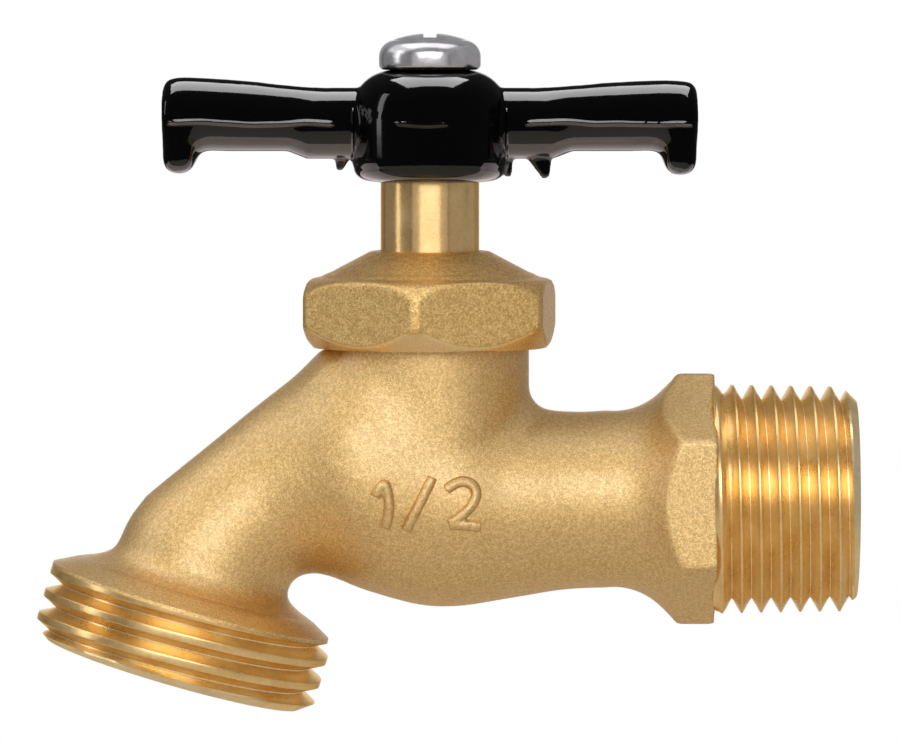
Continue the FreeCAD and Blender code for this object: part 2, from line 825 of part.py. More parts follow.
def make_stem():
    """Spindle: disc end over the rubber washer, thread, shank through the packing, square end."""
    thread_top = sizes.neck_height - sizes.stem_lift - sizes.stop_clearance
    thread_base = thread_top - sizes.stem_thread_length
    thread_radius = sizes.stem_thread_diameter / 2
    washer_hole = sizes.washer_screw_diameter / 2 + sizes.thread_clearance
    washer_hole_top = disc_base + sizes.washer_screw_length - sizes.seat_washer_thickness
    washer_hole_top = washer_hole_top + sizes.stop_clearance
    screw_hole = sizes.screw_diameter / 2 + sizes.thread_clearance
    screw_hole_base = hub_top - sizes.screw_length - sizes.stop_clearance
    stem = turned_piece("stem", [
        (0, washer_hole_top + sizes.washer_screw_diameter / 2 * sizes.drill_point_slope),
        (washer_hole, washer_hole_top),
        (washer_hole, disc_base),
        (sizes.disc_diameter / 2, disc_base),
        (sizes.disc_diameter / 2, disc_base + sizes.disc_thickness),
        (thread_radius, thread_base),
        (thread_radius, thread_top),
        (stem_radius, thread_top),
        (stem_radius, square_top),
        (screw_hole, square_top),
        (screw_hole, screw_hole_base),
        (0, screw_hole_base - screw_hole * sizes.drill_point_slope),
    ])
    flats = sketch_on(stem, "square_flats_plan", plane="XY_Plane", out=sizes.square_lower_edge)
    draw_circle(flats, sizes.stem_diameter)
    draw(flats, polygon(4, sizes.square_flats, as_size(45)))
    trim_to(stem, "square_end", flats, upward=True)
    return stem


def make_seat_washer():
    inner = sizes.washer_screw_diameter / 2 + sizes.running_clearance
    outer = sizes.seat_washer_diameter / 2
    return turned_piece("seat_washer", [
        (inner, seat_top),
        (outer, seat_top),
        (outer, disc_base),
        (inner, disc_base),
    ])


def make_seat_washer_screw():
    shank = sizes.washer_screw_diameter / 2
    head = sizes.washer_screw_head_diameter / 2
    head_base = seat_top - sizes.washer_screw_head_height
    screw = turned_piece("seat_washer_screw", [
        (0, head_base),
        (head, head_base),
        (head, seat_top),
        (shank, seat_top),
        (shank, seat_top + sizes.washer_screw_length),
        (0, seat_top + sizes.washer_screw_length),
    ])
    slot = sketch_on(screw, "driver_slot_plan", plane="XY_Plane", out=head_base)
    half = sizes.washer_screw_slot_width / 2
    reach = head + sizes.cut_margin
    draw(slot, [(-reach, -half), (reach, -half), (reach, half), (-reach, half)])
    trim_to(screw, "driver_slot", slot, depth=sizes.washer_screw_slot_depth, upward=True)
    return screw


# Handle

def hub_form(name, inset):
    """The hub, all its skin moved in by inset."""
    body = new_body(f"{name}_hub")
    section = sketch_on(body, f"{name}_hub_section", plane="YZ_Plane")
    radius = sizes.hub_diameter / 2 - inset
    base = sizes.hub_lower_edge + inset
    top = hub_top - inset
    draw(section, [
        (0, base),
        (radius - sizes.hub_lower_round, base),
        sizes.hub_lower_round,
        (radius, base + sizes.hub_lower_round),
        (radius, top - sizes.hub_top_round),
        sizes.hub_top_round,
        (radius - sizes.hub_top_round, top),
        (0, top),
    ])
    revolve(body, f"{name}_hub_turned", section)
    return body


def arm_section(name, place, side, inset, drop=0, sink=0):
    """A section of the arms at a place along them, whose top line rises evenly to the tips.
    The collar hangs lower by drop, and its hidden ends sink below the arm's skin."""
    rise = sizes.arm_top_at_tip - sizes.arm_top_at_hub
    top = sizes.arm_top_at_hub + rise * place / sizes.arm_length - sink
    underside = sizes.arm_underside - drop + sink
    middle = sizes.hub_lower_edge + (top + underside) / 2
    tall = (top - underside) / 2 - inset
    return ellipse(name, place * side, middle, tall, tall - sizes.arm_flattening, 90)


def mirrored(name, stations, inset):
    """Sections from the left end to the right end, from the stations of one half."""
    halves = []
    for side, half in ((-1, "left"), (1, "right")):
        halves.append([arm_section(f"{name}_{half}_{station}", place, side, inset, drop, sink)
                       for station, place, drop, sink in stations])
    left, right = halves
    return [*reversed(left), *right]


def collar_form(name, inset):
    """The thicker root of both arms, which tapers into them at each end."""
    end = sizes.collar_length + sizes.collar_taper
    collar = loft(name, mirrored(name, (
        ("full", sizes.collar_length, sizes.collar_drop, sizes.collar_sink),
        ("end", end, as_size(0), sizes.collar_sink),
    ), inset))
    collar.Ruled = True
    return collar


def arms_form(name, inset):
    """Both arms as one bar through the hub, with its two end edges rounded."""
    sections = mirrored(name, (
        ("middle", sizes.arm_length / 2, 0, 0),
        ("tip", sizes.arm_length - inset, 0, 0),
    ), inset)
    sections.insert(2, arm_section(f"{name}_root", as_size(0), 1, inset))
    bar = loft(f"{name}_bar", sections)
    doc.recompute()
    body = new_body(name)
    body.BaseFeature = bar
    doc.recompute()
    base = body.Group[0]
    reach = sizes.arm_length.number - as_size(inset).number - 0.01
    ends = [f"Edge{index}" for index, edge in enumerate(base.Shape.Edges, start=1)
            if min(abs(point.x) for point in edge.discretize(5)) > reach]
    rounding = body.newObject("PartDesign::Fillet", f"{name}_tip_rounds")
    rounding.Base = (base, ends)
    bind(rounding, "Radius", sizes.arm_tip_round)
    return body


def foot_form(name, side, inset):
    """The drooping lobe at an arm's tip: an oval that hangs below the arm's underside."""
    foot = doc.addObject("Part::Ellipsoid", name)
    top = sizes.arm_top_at_tip
    base = sizes.arm_underside - sizes.foot_drop
    bind(foot, "Radius1", (top - base) / 2 - inset)
    bind(foot, "Radius2", sizes.foot_length / 2 - inset)
    bind(foot, "Radius3", sizes.foot_thickness / 2 - inset)
    middle = sizes.hub_lower_edge + (top + base) / 2
    place = sizes.arm_length - sizes.foot_from_tip - sizes.foot_length / 2
    move(foot, along=place * side, up=middle)
    if side > 0:
        foot.Placement.Rotation = FreeCAD.Rotation(FreeCAD.Vector(0, 0, 1), 180)
    return foot


def handle_form(name, inset):
    feet = [foot_form(f"{name}_{half}_foot", side, inset) for side, half in
            ((-1, "left"), (1, "right"))]
    return fuse(name, [hub_form(name, inset), arms_form(f"{name}_arms", inset),
                       collar_form(f"{name}_collar", inset), *feet])


def stem_way():
    """What the stem's end and the screw take out of the hub, with their clearance."""
    shank = doc.addObject("Part::Cylinder", "shank_way")
    bind(shank, "Radius", stem_passage)
    bind(shank, "Height", sizes.square_lower_edge - sizes.hub_lower_edge + sizes.cut_margin)
    move(shank, up=sizes.hub_lower_edge - sizes.cut_margin)
    side = sizes.square_flats + 2 * sizes.running_clearance
    square = doc.addObject("Part::Box", "square_way")
    bind(square, "Length", side)
    bind(square, "Width", side)
    bind(square, "Height", sizes.square_height + sizes.seating_clearance)
    move(square, along=-side / 2, across=-side / 2, up=sizes.square_lower_edge)
    screw = doc.addObject("Part::Cylinder", "screw_way")
    bind(screw, "Radius", sizes.screw_diameter / 2 + sizes.seating_clearance)
    bind(screw, "Height", hub_top - sizes.square_lower_edge + sizes.cut_margin)
    move(screw, up=sizes.square_lower_edge)
    return fuse("stem_way", [shank, square, screw])


def make_handle():
    outer = handle_form("cover_form", as_size(0))
    inner = handle_form("core_form", sizes.cover_wall)
    way = stem_way()
    core = cut("handle_core", inner, way)
    cover = cut("handle_cover", cut("cover_shell", outer, inner), way)
    for piece in (core, cover):
        move(piece, along=-sizes.stem_from_inlet)
    return core, cover


def make_handle_screw():
    """Pan head screw that holds the handle on the stem."""
    shank = sizes.screw_diameter / 2
    head = sizes.screw_head_diameter / 2
    rim = sizes.screw_rim_round
    head_top = hub_top + sizes.screw_head_height
    crown = sizes.screw_crown_diameter / 2
    crown_rise = sizes.screw_crown_height
    crown_radius = (crown * crown + crown_rise * crown_rise) / (2 * crown_rise)
    side = head - crown
    side_rise = sizes.screw_head_height - crown_rise - sizes.screw_rim_height
    side_radius = (side * side + side_rise * side_rise) / (2 * side)
    screw = turned_piece("handle_screw", [
        (0, hub_top - sizes.screw_length),
        (shank, hub_top - sizes.screw_length),
        (shank, hub_top),
        (head - rim, hub_top),
        rim,
        (head, hub_top + rim),
        (head, hub_top + sizes.screw_rim_height),
        side_radius,
        (crown, head_top - crown_rise),
        crown_radius,
        (0, head_top),
    ])
    wing = sketch_on(screw, "recess_wing_plan", plane="XY_Plane", out=head_top)
    half = sizes.recess_width / 2
    draw(wing, [(0, -half), (sizes.recess_span / 2, -half), (sizes.recess_span / 2, half), (0, half)])
    doc.recompute()
    slot = trim_to(screw, "recess_wing", wing, depth=sizes.recess_depth)
    doc.recompute()
    cross = screw.newObject("PartDesign::PolarPattern", "recess_cross")
    cross.Originals = [slot]
    cross.Axis = (wing, ["N_Axis"])
    cross.Angle = 360
    cross.Occurrences = 4
    screw.Tip = cross
    return screw


make_valve_body()
make_bonnet()
make_packing()
make_stem()
make_seat_washer()
make_seat_washer_screw()
make_handle()
make_handle_screw()
doc.recompute()

NODES = (
    "valve_body",
    "bonnet",
    "packing_washer",
    "packing_ring",
    "stem",
    "seat_washer",
    "seat_washer_screw",
    "handle_core",
    "handle_cover",
    "handle_screw",
)

# Nothing is written unless every feature and every piece is sound
for item in doc.Objects:
    if "Invalid" in item.State or "Error" in item.State:
        raise RuntimeError(f"{item.Label}: {item.State}")
for label in NODES:
    piece = doc.getObjectsByLabel(label)[0]
    if piece.Shape.isNull() or not piece.Shape.isValid():
        raise RuntimeError(f"{label} has no valid shape")
for label in NODES:
    piece = doc.getObjectsByLabel(label)[0]
    box = piece.Shape.BoundBox
    piece.Shape.exportStep(f"parts/{label}.step")
    print(f"{label}: {len(piece.Shape.Solids)} solid, {piece.Shape.Volume:.1f} mm3,"
          f" x {box.XMin:.2f} to {box.XMax:.2f}, y {box.YMin:.2f} to {box.YMax:.2f},"
          f" z {box.ZMin:.2f} to {box.ZMax:.2f}")
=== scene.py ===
# %% [markdown]
# # A brass garden tap, dressed around its CAD frame
# The CAD model gives exact sizes and the moving pieces. This script adds what a drawing leaves out:
# cut threads, soft cast edges, the grain of shot-blasted brass, dipped black vinyl and chrome.
# Everything stays in metres in the frame of the CAD model, so each piece lands where it belongs.

# %% Load the frame
import json
import math
import bmesh
import bpy
from mathutils import Matrix, Vector
from mathutils.bvhtree import BVHTree


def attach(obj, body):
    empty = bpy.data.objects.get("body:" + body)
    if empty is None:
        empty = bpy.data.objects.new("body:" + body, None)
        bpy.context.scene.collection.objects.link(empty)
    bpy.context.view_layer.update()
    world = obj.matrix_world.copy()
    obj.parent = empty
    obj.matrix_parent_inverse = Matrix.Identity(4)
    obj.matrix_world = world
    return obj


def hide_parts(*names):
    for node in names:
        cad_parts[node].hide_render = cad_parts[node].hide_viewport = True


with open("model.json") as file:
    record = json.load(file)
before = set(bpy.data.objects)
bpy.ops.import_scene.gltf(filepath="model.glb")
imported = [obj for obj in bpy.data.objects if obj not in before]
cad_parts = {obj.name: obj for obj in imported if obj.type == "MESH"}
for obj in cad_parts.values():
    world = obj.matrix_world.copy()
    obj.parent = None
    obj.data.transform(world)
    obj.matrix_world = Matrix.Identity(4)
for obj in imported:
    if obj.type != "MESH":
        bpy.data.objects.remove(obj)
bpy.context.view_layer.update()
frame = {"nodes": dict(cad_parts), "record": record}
nodes = frame["nodes"]
MM = 0.001
print("CAD nodes:", sorted(nodes))

# %% [markdown]
# ## Places that several pieces share
# The stem stands 40 mm behind the inlet's end face. The spout's end face is tilted, so its threads
# are easier to build upright and then turned into place by one matrix. The same goes for the inlet.

# %% Shared places
STEM_X = -40.0 * MM
FLANGE_X = -13.6 * MM
mounts = {mount["name"]: mount for mount in frame["record"]["mounts"]}
washer_face = mounts["hose_washer_face"]
spout_end = Vector((washer_face["pos_m"][0], 0, washer_face["pos_m"][2]))
into_spout = -Vector(washer_face["axis"]).normalized()


def standing_at(origin, up, right):
    """The matrix that puts a piece built along Z at an origin, with its Z along up."""
    up = up.normalized()
    right = (right - right.dot(up) * up).normalized()
    turn = Matrix((right, up.cross(right), up)).transposed()
    return Matrix.Translation(origin) @ turn.to_4x4()


at_inlet = standing_at(Vector((0, 0, 0)), Vector((1, 0, 0)), Vector((0, 0, 1)))
at_outlet = standing_at(spout_end, into_spout, Vector((1, 0, 0)))
print("spout leans", round(math.degrees(into_spout.angle(Vector((0, 0, 1)))), 2), "degrees")

# %% [markdown]
# ## Shader sums as plain expressions
# A material is a net of nodes. Written one by one they hide the idea behind the wiring, so this
# small class wraps a socket: `1 - mask` or `grain * 0.3` then add the Math nodes by themselves.


# %% Socket wrapper
class Flow:
    def __init__(self, tree, socket):
        self.tree = tree
        self.socket = socket

    def node(self, kind, inputs=None, output=0, **settings):
        """Adds any node: first its settings, then the values or links of its sockets."""
        made = self.tree.nodes.new(kind)
        for name, value in settings.items():
            setattr(made, name, value)
        for name, value in (inputs or {}).items():
            socket = made.inputs[name]
            if isinstance(value, Flow):
                self.tree.links.new(value.socket, socket)
            else:
                socket.default_value = value
        return Flow(self.tree, made.outputs[output])

    def maths(self, operation, first, second=0.0):
        return self.node("ShaderNodeMath", {0: first, 1: second}, operation=operation)

    def __add__(self, other):
        return self.maths("ADD", self, other)

    def __sub__(self, other):
        return self.maths("SUBTRACT", self, other)

    def __mul__(self, other):
        return self.maths("MULTIPLY", self, other)

    def __truediv__(self, other):
        return self.maths("DIVIDE", self, other)

    def __rsub__(self, other):
        return self.maths("SUBTRACT", other, self)

    __radd__ = __add__

    def size(self):
        return self.maths("ABSOLUTE", self)

    def root(self):
        return self.maths("SQRT", self)

    def bell(self, centre, width):
        """1 where this value is at the centre, falling to 0 over about a width."""
        away = (self - centre) / width
        return self.maths("EXPONENT", away * away * -1.0)

    def between(self, low, high):
        """0 below low, 1 above high, and a smooth step between them."""
        return self.node("ShaderNodeMapRange", {0: self, 1: low, 2: high, 3: 0.0, 4: 1.0},
                         interpolation_type="SMOOTHSTEP")

    def noise(self, scale, detail=2.0, roughness=0.5):
        """Noise read at this vector. Its features are about 1 / scale metres across."""
        return self.node("ShaderNodeTexNoise", {"Vector": self, "Scale": scale,
                                                "Detail": detail, "Roughness": roughness})

    def axis(self, output):
        return self.node("ShaderNodeSeparateXYZ", {0: self}, output=output)

    def blend(self, low, high):
        """The colour low where this is 0 and high where it is 1."""
        # A Mix node has sockets for each type of value: 6 and 7 and output 2 are the colours.
        return self.node("ShaderNodeMix", {0: self, 6: low, 7: high}, output=2, data_type="RGBA")

    def bump(self, distance, strength=1.0, normal=None):
        """A normal that makes this look like relief, up to the distance high."""
        inputs = {"Height": self, "Distance": distance, "Strength": strength}
        if normal is not None:
            inputs["Normal"] = normal
        return self.node("ShaderNodeBump", inputs)


def finish_named(name, recipe, **constants):
    """Makes a material: constants go on the shader's sockets, and the recipe links the rest."""
    made = bpy.data.materials.new(name)
    made.use_nodes = True
    shader = made.node_tree.nodes["Principled BSDF"]
    for socket, value in constants.items():
        shader.inputs[socket.replace("_", " ")].default_value = value
    start = Flow(made.node_tree, None)
    place = start.node("ShaderNodeTexCoord", output="Object")
    for socket, flow in recipe(place).items():
        made.node_tree.links.new(flow.socket, shader.inputs[socket])
    print("finish", name, "has", len(made.node_tree.nodes), "nodes")
    return made


# %% [markdown]
# ## Shot-blasted cast brass
# The real body is a sand casting blasted with fine shot, which leaves millions of tiny dents. Each
# dent mirrors the light its own way, so the metal looks satin from afar and glitters up close. Two
# sizes of noise drive a bump, and the same noise shifts the colour and the roughness a little.


# %% Cast brass
BODY_GRAIN = 8200.0
DARK_BRASS = (0.61, 0.355, 0.085, 1)
LIGHT_BRASS = (0.98, 0.68, 0.27, 1)
EDGE_TINT = (0.86, 0.60, 0.32, 1)
DENT_DEPTH = 0.06 * MM
WAVE_DEPTH = 0.2 * MM


def blasted(place, fine):
    """What blasting leaves at a fineness: dents, wider pits, the colour and the roughness."""
    dents = place.noise(fine, detail=3.0, roughness=0.7)
    pits = place.noise(fine * 0.36, detail=2.0)
    grain = (dents * 0.75 + pits * 0.25).between(0.40, 0.62)
    return dents, pits, grain.blend(DARK_BRASS, LIGHT_BRASS), 0.48 - grain * 0.14


def cast_brass_recipe(place):
    dents, pits, colour, roughness = blasted(place, BODY_GRAIN)
    waves = place.noise(260.0, detail=1.0).bump(WAVE_DEPTH, 0.12)
    return {
        "Base Color": colour,
        "Roughness": roughness,
        "Normal": dents.bump(DENT_DEPTH, 0.95, pits.bump(DENT_DEPTH, 0.45, waves)),
    }


cast_brass = finish_named("cast_brass_finish", cast_brass_recipe, Metallic=1.0,
                          Specular_Tint=EDGE_TINT, Coat_Weight=1.0, Coat_IOR=1.8,
                          Coat_Roughness=0.42)

# %% [markdown]
# ## The bonnet's two finishes
# The bonnet's blasting is coarser than the body's, and after it a lathe cuts a cone under the
# corners. A point lies on that cone where its distance from the stem's axis equals the cone's, so
# the material finds the cut by itself and leaves it smooth and bright.

# %% Bonnet brass
BONNET_FOOT = 14.02 * MM
BONNET_FLATS = 10.75 * MM
CONE_PER_HEIGHT = 0.9
BONNET_GRAIN = 5200.0
BONNET_DENT_DEPTH = 0.08 * MM
CUT_BRASS = (0.88, 0.62, 0.29, 1)


def bonnet_recipe(place):
    dents, _, colour, roughness = blasted(place, BONNET_GRAIN)
    along = place.axis(0) - STEM_X
    across = place.axis(1)
    from_axis = (along * along + across * across).root()
    height = place.axis(2) - BONNET_FOOT
    inside_cone = height * CONE_PER_HEIGHT + BONNET_FLATS - from_axis
    cut = 1 - inside_cone.between(0.06 * MM, 0.16 * MM)
    low = cut * (1 - height.between(1.7 * MM, 2.0 * MM))
    return {
        "Base Color": low.blend(colour, CUT_BRASS),
        "Roughness": roughness - low * 0.10,
        "Normal": (dents * (1 - low)).bump(BONNET_DENT_DEPTH, 0.95),
    }


bonnet_brass = finish_named("bonnet_brass_finish", bonnet_recipe, Metallic=1.0,
                            Specular_Tint=EDGE_TINT, Coat_Weight=0.8, Coat_IOR=1.6,
                            Coat_Roughness=0.42)

# %% [markdown]
# ## Turned brass
# The threads and the stem are cut on a lathe after casting and stay bright. Handling leaves faint
# cloudy patches and specks. The thread maker below stores each point's depth in the groove, and the
# colour follows it as painted light and shade: the grooves are painted paler, which whitens the
# highlights on the flanks and offsets the darker, more orange light that bounces between them, and
# the crests a deeper gold, as painted shade against their pale reflection. The lathe's fine rings
# stretch every reflection on the stem, so its finish is anisotropic.


# %% Turned brass
# Crests: painted shade, a deeper gold. Grooves: painted light, paler, for whiter highlights.
CREST_COLOURS_PAINTED_SHADE = (0.81, 0.53, 0.22, 1), (0.94, 0.66, 0.31, 1)
GROOVE_COLOURS_PAINTED_LIGHT = (0.87, 0.67, 0.37, 1), (0.98, 0.81, 0.53, 1)
TURNED_TINT = (0.94, 0.76, 0.52, 1)


def turned_brass_recipe(place):
    cloud = place.noise(420.0, detail=2.0)
    specks = place.noise(2600.0, detail=2.0)
    shade = (cloud * 0.6 + specks * 0.4).between(0.3, 0.7)
    depth = place.node("ShaderNodeAttribute", output="Fac", attribute_name="groove_depth")
    # Deeper in the groove means paler: painted light there, painted shade on the crests.
    deep = depth.between(0.05, 0.5)
    return {
        "Base Color": deep.blend(shade.blend(*CREST_COLOURS_PAINTED_SHADE), shade.blend(*GROOVE_COLOURS_PAINTED_LIGHT)),
        "Roughness": 0.22 + cloud * 0.14,
        "Normal": specks.bump(0.03 * MM, 0.16),
    }


turned_brass = finish_named("turned_brass_finish", turned_brass_recipe, Metallic=1.0,
                            Specular_Tint=TURNED_TINT)
stem_brass = finish_named("stem_brass_finish", turned_brass_recipe, Metallic=1.0,
                          Specular_Tint=EDGE_TINT, Anisotropic=0.85,
                          Anisotropic_Rotation=0.25, Coat_Weight=0.4, Coat_Roughness=0.25)

# %% [markdown]
# ## Dipped black vinyl
# The T of the handle is hot-dipped: liquid vinyl runs over the metal and cures into a thick glossy
# coat. It copies the parting line of the casting below as a thin wavy ridge along each arm and on
# the hub, which also has two upright seams. The coat is never quite even, which bends every
# reflection a little.


# %% Black vinyl
RIDGE_HEIGHT = 34.9 * MM
RIDGE_WANDER = 0.7 * MM
RIDGE_RELIEF = 0.34 * MM
SEAM_FROM_STEM = 7.1 * MM
VINYL_WAVES = 0.9 * MM
VINYL_COLOURS = (0.0012, 0.0011, 0.0012, 1), (0.004, 0.0036, 0.0038, 1)


def black_vinyl_recipe(place):
    along = place.axis(0) - STEM_X
    up = place.axis(2)
    wander = place.noise(170.0, detail=1.0) - 0.5
    ridge = (up + wander * RIDGE_WANDER).bell(RIDGE_HEIGHT, 0.20 * MM)
    away = along.size()
    on_arms = away.between(8.6 * MM, 9.4 * MM) - away.between(23.4 * MM, 24.4 * MM)
    on_hub = 1 - (along + 0.7 * MM).size().between(1.9 * MM, 2.7 * MM)
    on_seam = up.between(31.4 * MM, 31.9 * MM) - up.between(35.9 * MM, 36.4 * MM)
    seam = away.bell(SEAM_FROM_STEM, 0.10 * MM) * on_seam
    lines = ridge * (on_arms + on_hub * 0.55) + seam * 0.6
    uneven = place.noise(120.0, detail=1.0).bump(VINYL_WAVES, 0.15)
    dust = place.noise(3000.0, detail=2.0)
    return {
        "Base Color": dust.blend(*VINYL_COLOURS),
        "Roughness": 0.05 + dust * 0.05,
        "Normal": lines.bump(RIDGE_RELIEF, 1.0, uneven),
    }


black_vinyl = finish_named("black_vinyl_finish", black_vinyl_recipe, IOR=1.5)

# %% [markdown]
# ## Chrome, and the finishes that few people see
# The chromed screw shows its head above the handle. Bare zinc under the vinyl, black rubber on the
# seat and graphite packing show only when the part is taken to pieces. They still get their own
# grain: one noise shifts the colour and the roughness of each and gives it a fine relief.


# %% Chrome, zinc, rubber and packing
def chrome_recipe(place):
    smear = place.noise(700.0, detail=2.0)
    return {"Base Color": smear.blend((0.52, 0.50, 0.52, 1), (0.78, 0.77, 0.79, 1)),
            "Roughness": 0.16 + smear * 0.12,
            "Normal": smear.bump(0.08 * MM, 0.4)}


def zinc_recipe(place):
    skin = place.noise(1500.0, detail=3.0)
    return {"Base Color": skin.blend((0.36, 0.37, 0.39, 1), (0.55, 0.56, 0.58, 1)),
            "Roughness": 0.42 + skin * 0.2,
            "Normal": skin.bump(0.08 * MM, 0.4)}


def rubber_recipe(place):
    bloom = place.noise(900.0, detail=3.0)
    return {"Base Color": bloom.blend((0.012, 0.012, 0.012, 1), (0.035, 0.034, 0.033, 1)),
            "Roughness": 0.62 + bloom * 0.2,
            "Normal": bloom.bump(0.05 * MM, 0.3)}


def graphite_recipe(place):
    fibre = place.noise(1900.0, detail=4.0)
    return {"Base Color": fibre.blend((0.018, 0.018, 0.019, 1), (0.11, 0.11, 0.115, 1)),
            "Roughness": 0.75 - fibre * 0.3,
            "Normal": fibre.bump(0.12 * MM, 0.6)}


chrome = finish_named("chrome_finish", chrome_recipe, Metallic=1.0)
zinc = finish_named("zinc_finish", zinc_recipe, Metallic=1.0)
rubber = finish_named("rubber_finish", rubber_recipe)
graphite = finish_named("graphite_finish", graphite_recipe)

# %% [markdown]
# ## Each CAD piece gets its finish
# Six pieces are shown just as the CAD model gives them. The other four are replaced further down
# by dressed ones, and still get a finish here, so that no piece is ever bare.

# %% Finishes of the CAD pieces
FINISHES = {
    "valve_body": cast_brass, "bonnet": bonnet_brass, "packing_washer": turned_brass,
    "packing_ring": graphite, "stem": stem_brass, "seat_washer": rubber,
    "seat_washer_screw": turned_brass, "handle_core": zinc, "handle_cover": black_vinyl,
    "handle_screw": chrome,
}
for node, finish in FINISHES.items():
    nodes[node].data.materials.clear()
    nodes[node].data.materials.append(finish)
print("finishes on", len(FINISHES), "pieces")

# %% [markdown]
# ## From a bmesh to a finished piece
# Every new piece ends the same way: doubles merged, faces turned outwards, smooth shading except
# over real corners, then a ride on its CAD body and its finish in a material slot.


# %% Helpers for finished pieces
WELD = 1e-7


def placed(name, data):
    """A new object of the scene, around its mesh, curve, lamp or camera."""
    made = bpy.data.objects.new(name, data)
    bpy.context.scene.collection.objects.link(made)
    return made


def piece_from(name, shape, finish, body, sharp):
    """A bmesh as a finished piece, with sharp edges over an angle in degrees."""
    bmesh.ops.remove_doubles(shape, verts=shape.verts, dist=WELD)
    bmesh.ops.recalc_face_normals(shape, faces=shape.faces)
    mesh = bpy.data.meshes.new(name)
    shape.to_mesh(mesh)
    shape.free()
    return dressed(name, mesh, finish, body, sharp)


def dressed(name, mesh, finish, body, sharp=None):
    """A mesh as a finished piece: its finish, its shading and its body."""
    mesh.materials.clear()
    mesh.materials.append(finish)
    mesh.shade_smooth()
    if sharp is not None:
        mesh.set_sharp_from_angle(angle=math.radians(sharp))
    made = placed(name, mesh)
    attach(made, body)
    triangles = sum(len(face.vertices) - 2 for face in mesh.polygons)
    print(name, "has", triangles, "triangles")
    return made


# %% [markdown]
# ## Soft skins over hard CAD shapes
# A casting and a dipped coat have no sharp edge anywhere. Bevels on every edge of such a shape
# would collide, so a voxel remesh lays one even skin over it instead, and a little smoothing rounds
# the edges alike. What is left to shape then are forms round the stem's axis or round a spot.


# %% Helpers for skins
def copy_of(node):
    """A copy of a CAD node's mesh as a closed bmesh: its loose triangles are merged first."""
    shape = bmesh.new()
    shape.from_mesh(nodes[node].data)
    bmesh.ops.remove_doubles(shape, verts=shape.verts, dist=2 * WELD)
    return shape


def softened(shape, voxel, rounds):
    """One skin over everything in the shape, with its edges rounded as a casting's are."""
    mesh = bpy.data.meshes.new("lump")
    shape.to_mesh(mesh)
    shape.free()
    lump = placed("lump", mesh)
    skin = lump.modifiers.new("skin", "REMESH")
    skin.mode = "VOXEL"
    skin.voxel_size = voxel
    relax = lump.modifiers.new("relax", "SMOOTH")
    relax.factor = 0.5
    relax.iterations = rounds
    graph = bpy.context.evaluated_depsgraph_get()
    made = bpy.data.meshes.new_from_object(lump.evaluated_get(graph))
    bpy.data.objects.remove(lump)
    return made


# %% Helpers that shape a skin further
def smoothed_around(mesh, spots, rounds, chosen=lambda place: True):
    """Blends the skin away around (x, z, radius) spots, softly towards their borders."""
    shape = bmesh.new()
    shape.from_mesh(mesh)
    for x, z, radius in spots:
        for share in (1.0, 0.8, 0.6):
            near = [vertex for vertex in shape.verts if chosen(vertex.co)
                    and math.hypot(vertex.co.x - x, vertex.co.z - z) < radius * share]
            for _ in range(rounds):
                bmesh.ops.smooth_vert(shape, verts=near, factor=0.5, use_axis_x=True,
                                      use_axis_y=True, use_axis_z=True)
    shape.to_mesh(mesh)
    shape.free()
    print("blended", len(spots), "spots")


def drawn_in(mesh, allowed, low=0.0, reach=math.inf, spared=lambda place: False):
    """Above a height, draws what lies within reach of the stem's axis in to allowed(z)."""
    moved = 0
    for vertex in mesh.vertices:
        outward = Vector((vertex.co.x - STEM_X, vertex.co.y, 0))
        inside = low < vertex.co.z and not spared(vertex.co)
        if inside and allowed(vertex.co.z) < outward.length < reach:
            outward = outward.normalized() * allowed(vertex.co.z)
            vertex.co.x, vertex.co.y = STEM_X + outward.x, outward.y
            moved += 1
    print("drew in", moved, "points")


def from_stem(place):
    """How far a place lies from the stem's axis."""
    return math.hypot(place.x - STEM_X, place.y)


def widened(vertex, along, across):
    """Moves a point away from the stem's axis, by a factor along X and one across it."""
    vertex.co.x = STEM_X + (vertex.co.x - STEM_X) * along
    vertex.co.y *= across


# %% [markdown]
# ## Screw threads
# A thread is one groove profile carried round a helix. The profile of a single turn is drawn as a
# short chain of points, `spin` carries it round while it climbs one pitch per turn, and merging
# the doubles joins each turn to the next. Two flat cuts give it its ends, and a bridge on each end
# closes it to the bore, so the piece is a solid ring that can be printed.

# %% Groove wound round a helix
CREST_ROUNDING = 0.10 * MM
STEPS_PER_TURN = 120


def groove_profile(pitch, depth, crest, root):
    """(along, below the crest) over one pitch, from the middle of a groove to the next one."""
    soft = min(crest, CREST_ROUNDING)
    flank_start = crest / 2 + soft
    slope = (depth - soft * 0.3) / (pitch / 2 - root / 2 - flank_start)
    points = [(-pitch / 2, depth), (-pitch / 2 + root / 2, depth)]
    for share in (0.25, 0.5, 0.75):
        along = (-pitch / 2 + root / 2) * (1 - share) + -flank_start * share
        points.append((along, soft * 0.3 + slope * (-flank_start - along)))
    points += [(-flank_start, soft * 0.3), (-crest / 2 - soft * 0.4, soft * 0.06), (-crest / 2, 0)]
    return points + [(-along, below) for along, below in reversed(points[:-1])] + [(crest / 2, 0)]


def wound(profile, pitch, crest_radius, start, end, phase):
    """The profile carried round Z from before the start to past the end."""
    turns = math.ceil((end - start) / pitch) + 2
    first = start - pitch
    first += (phase - first) % pitch - pitch
    shape = bmesh.new()
    chain = [shape.verts.new((crest_radius - below, 0, first + along))
             for along, below in sorted(profile)]
    for one, other in zip(chain, chain[1:]):
        shape.edges.new((one, other))
    bmesh.ops.spin(shape, geom=shape.verts[:] + shape.edges[:], cent=(0, 0, 0), axis=(0, 0, 1),
                   dvec=(0, 0, pitch / STEPS_PER_TURN), angle=math.tau * turns,
                   steps=STEPS_PER_TURN * turns)
    bmesh.ops.remove_doubles(shape, verts=shape.verts, dist=WELD)
    print("wound", turns, "turns")
    return shape


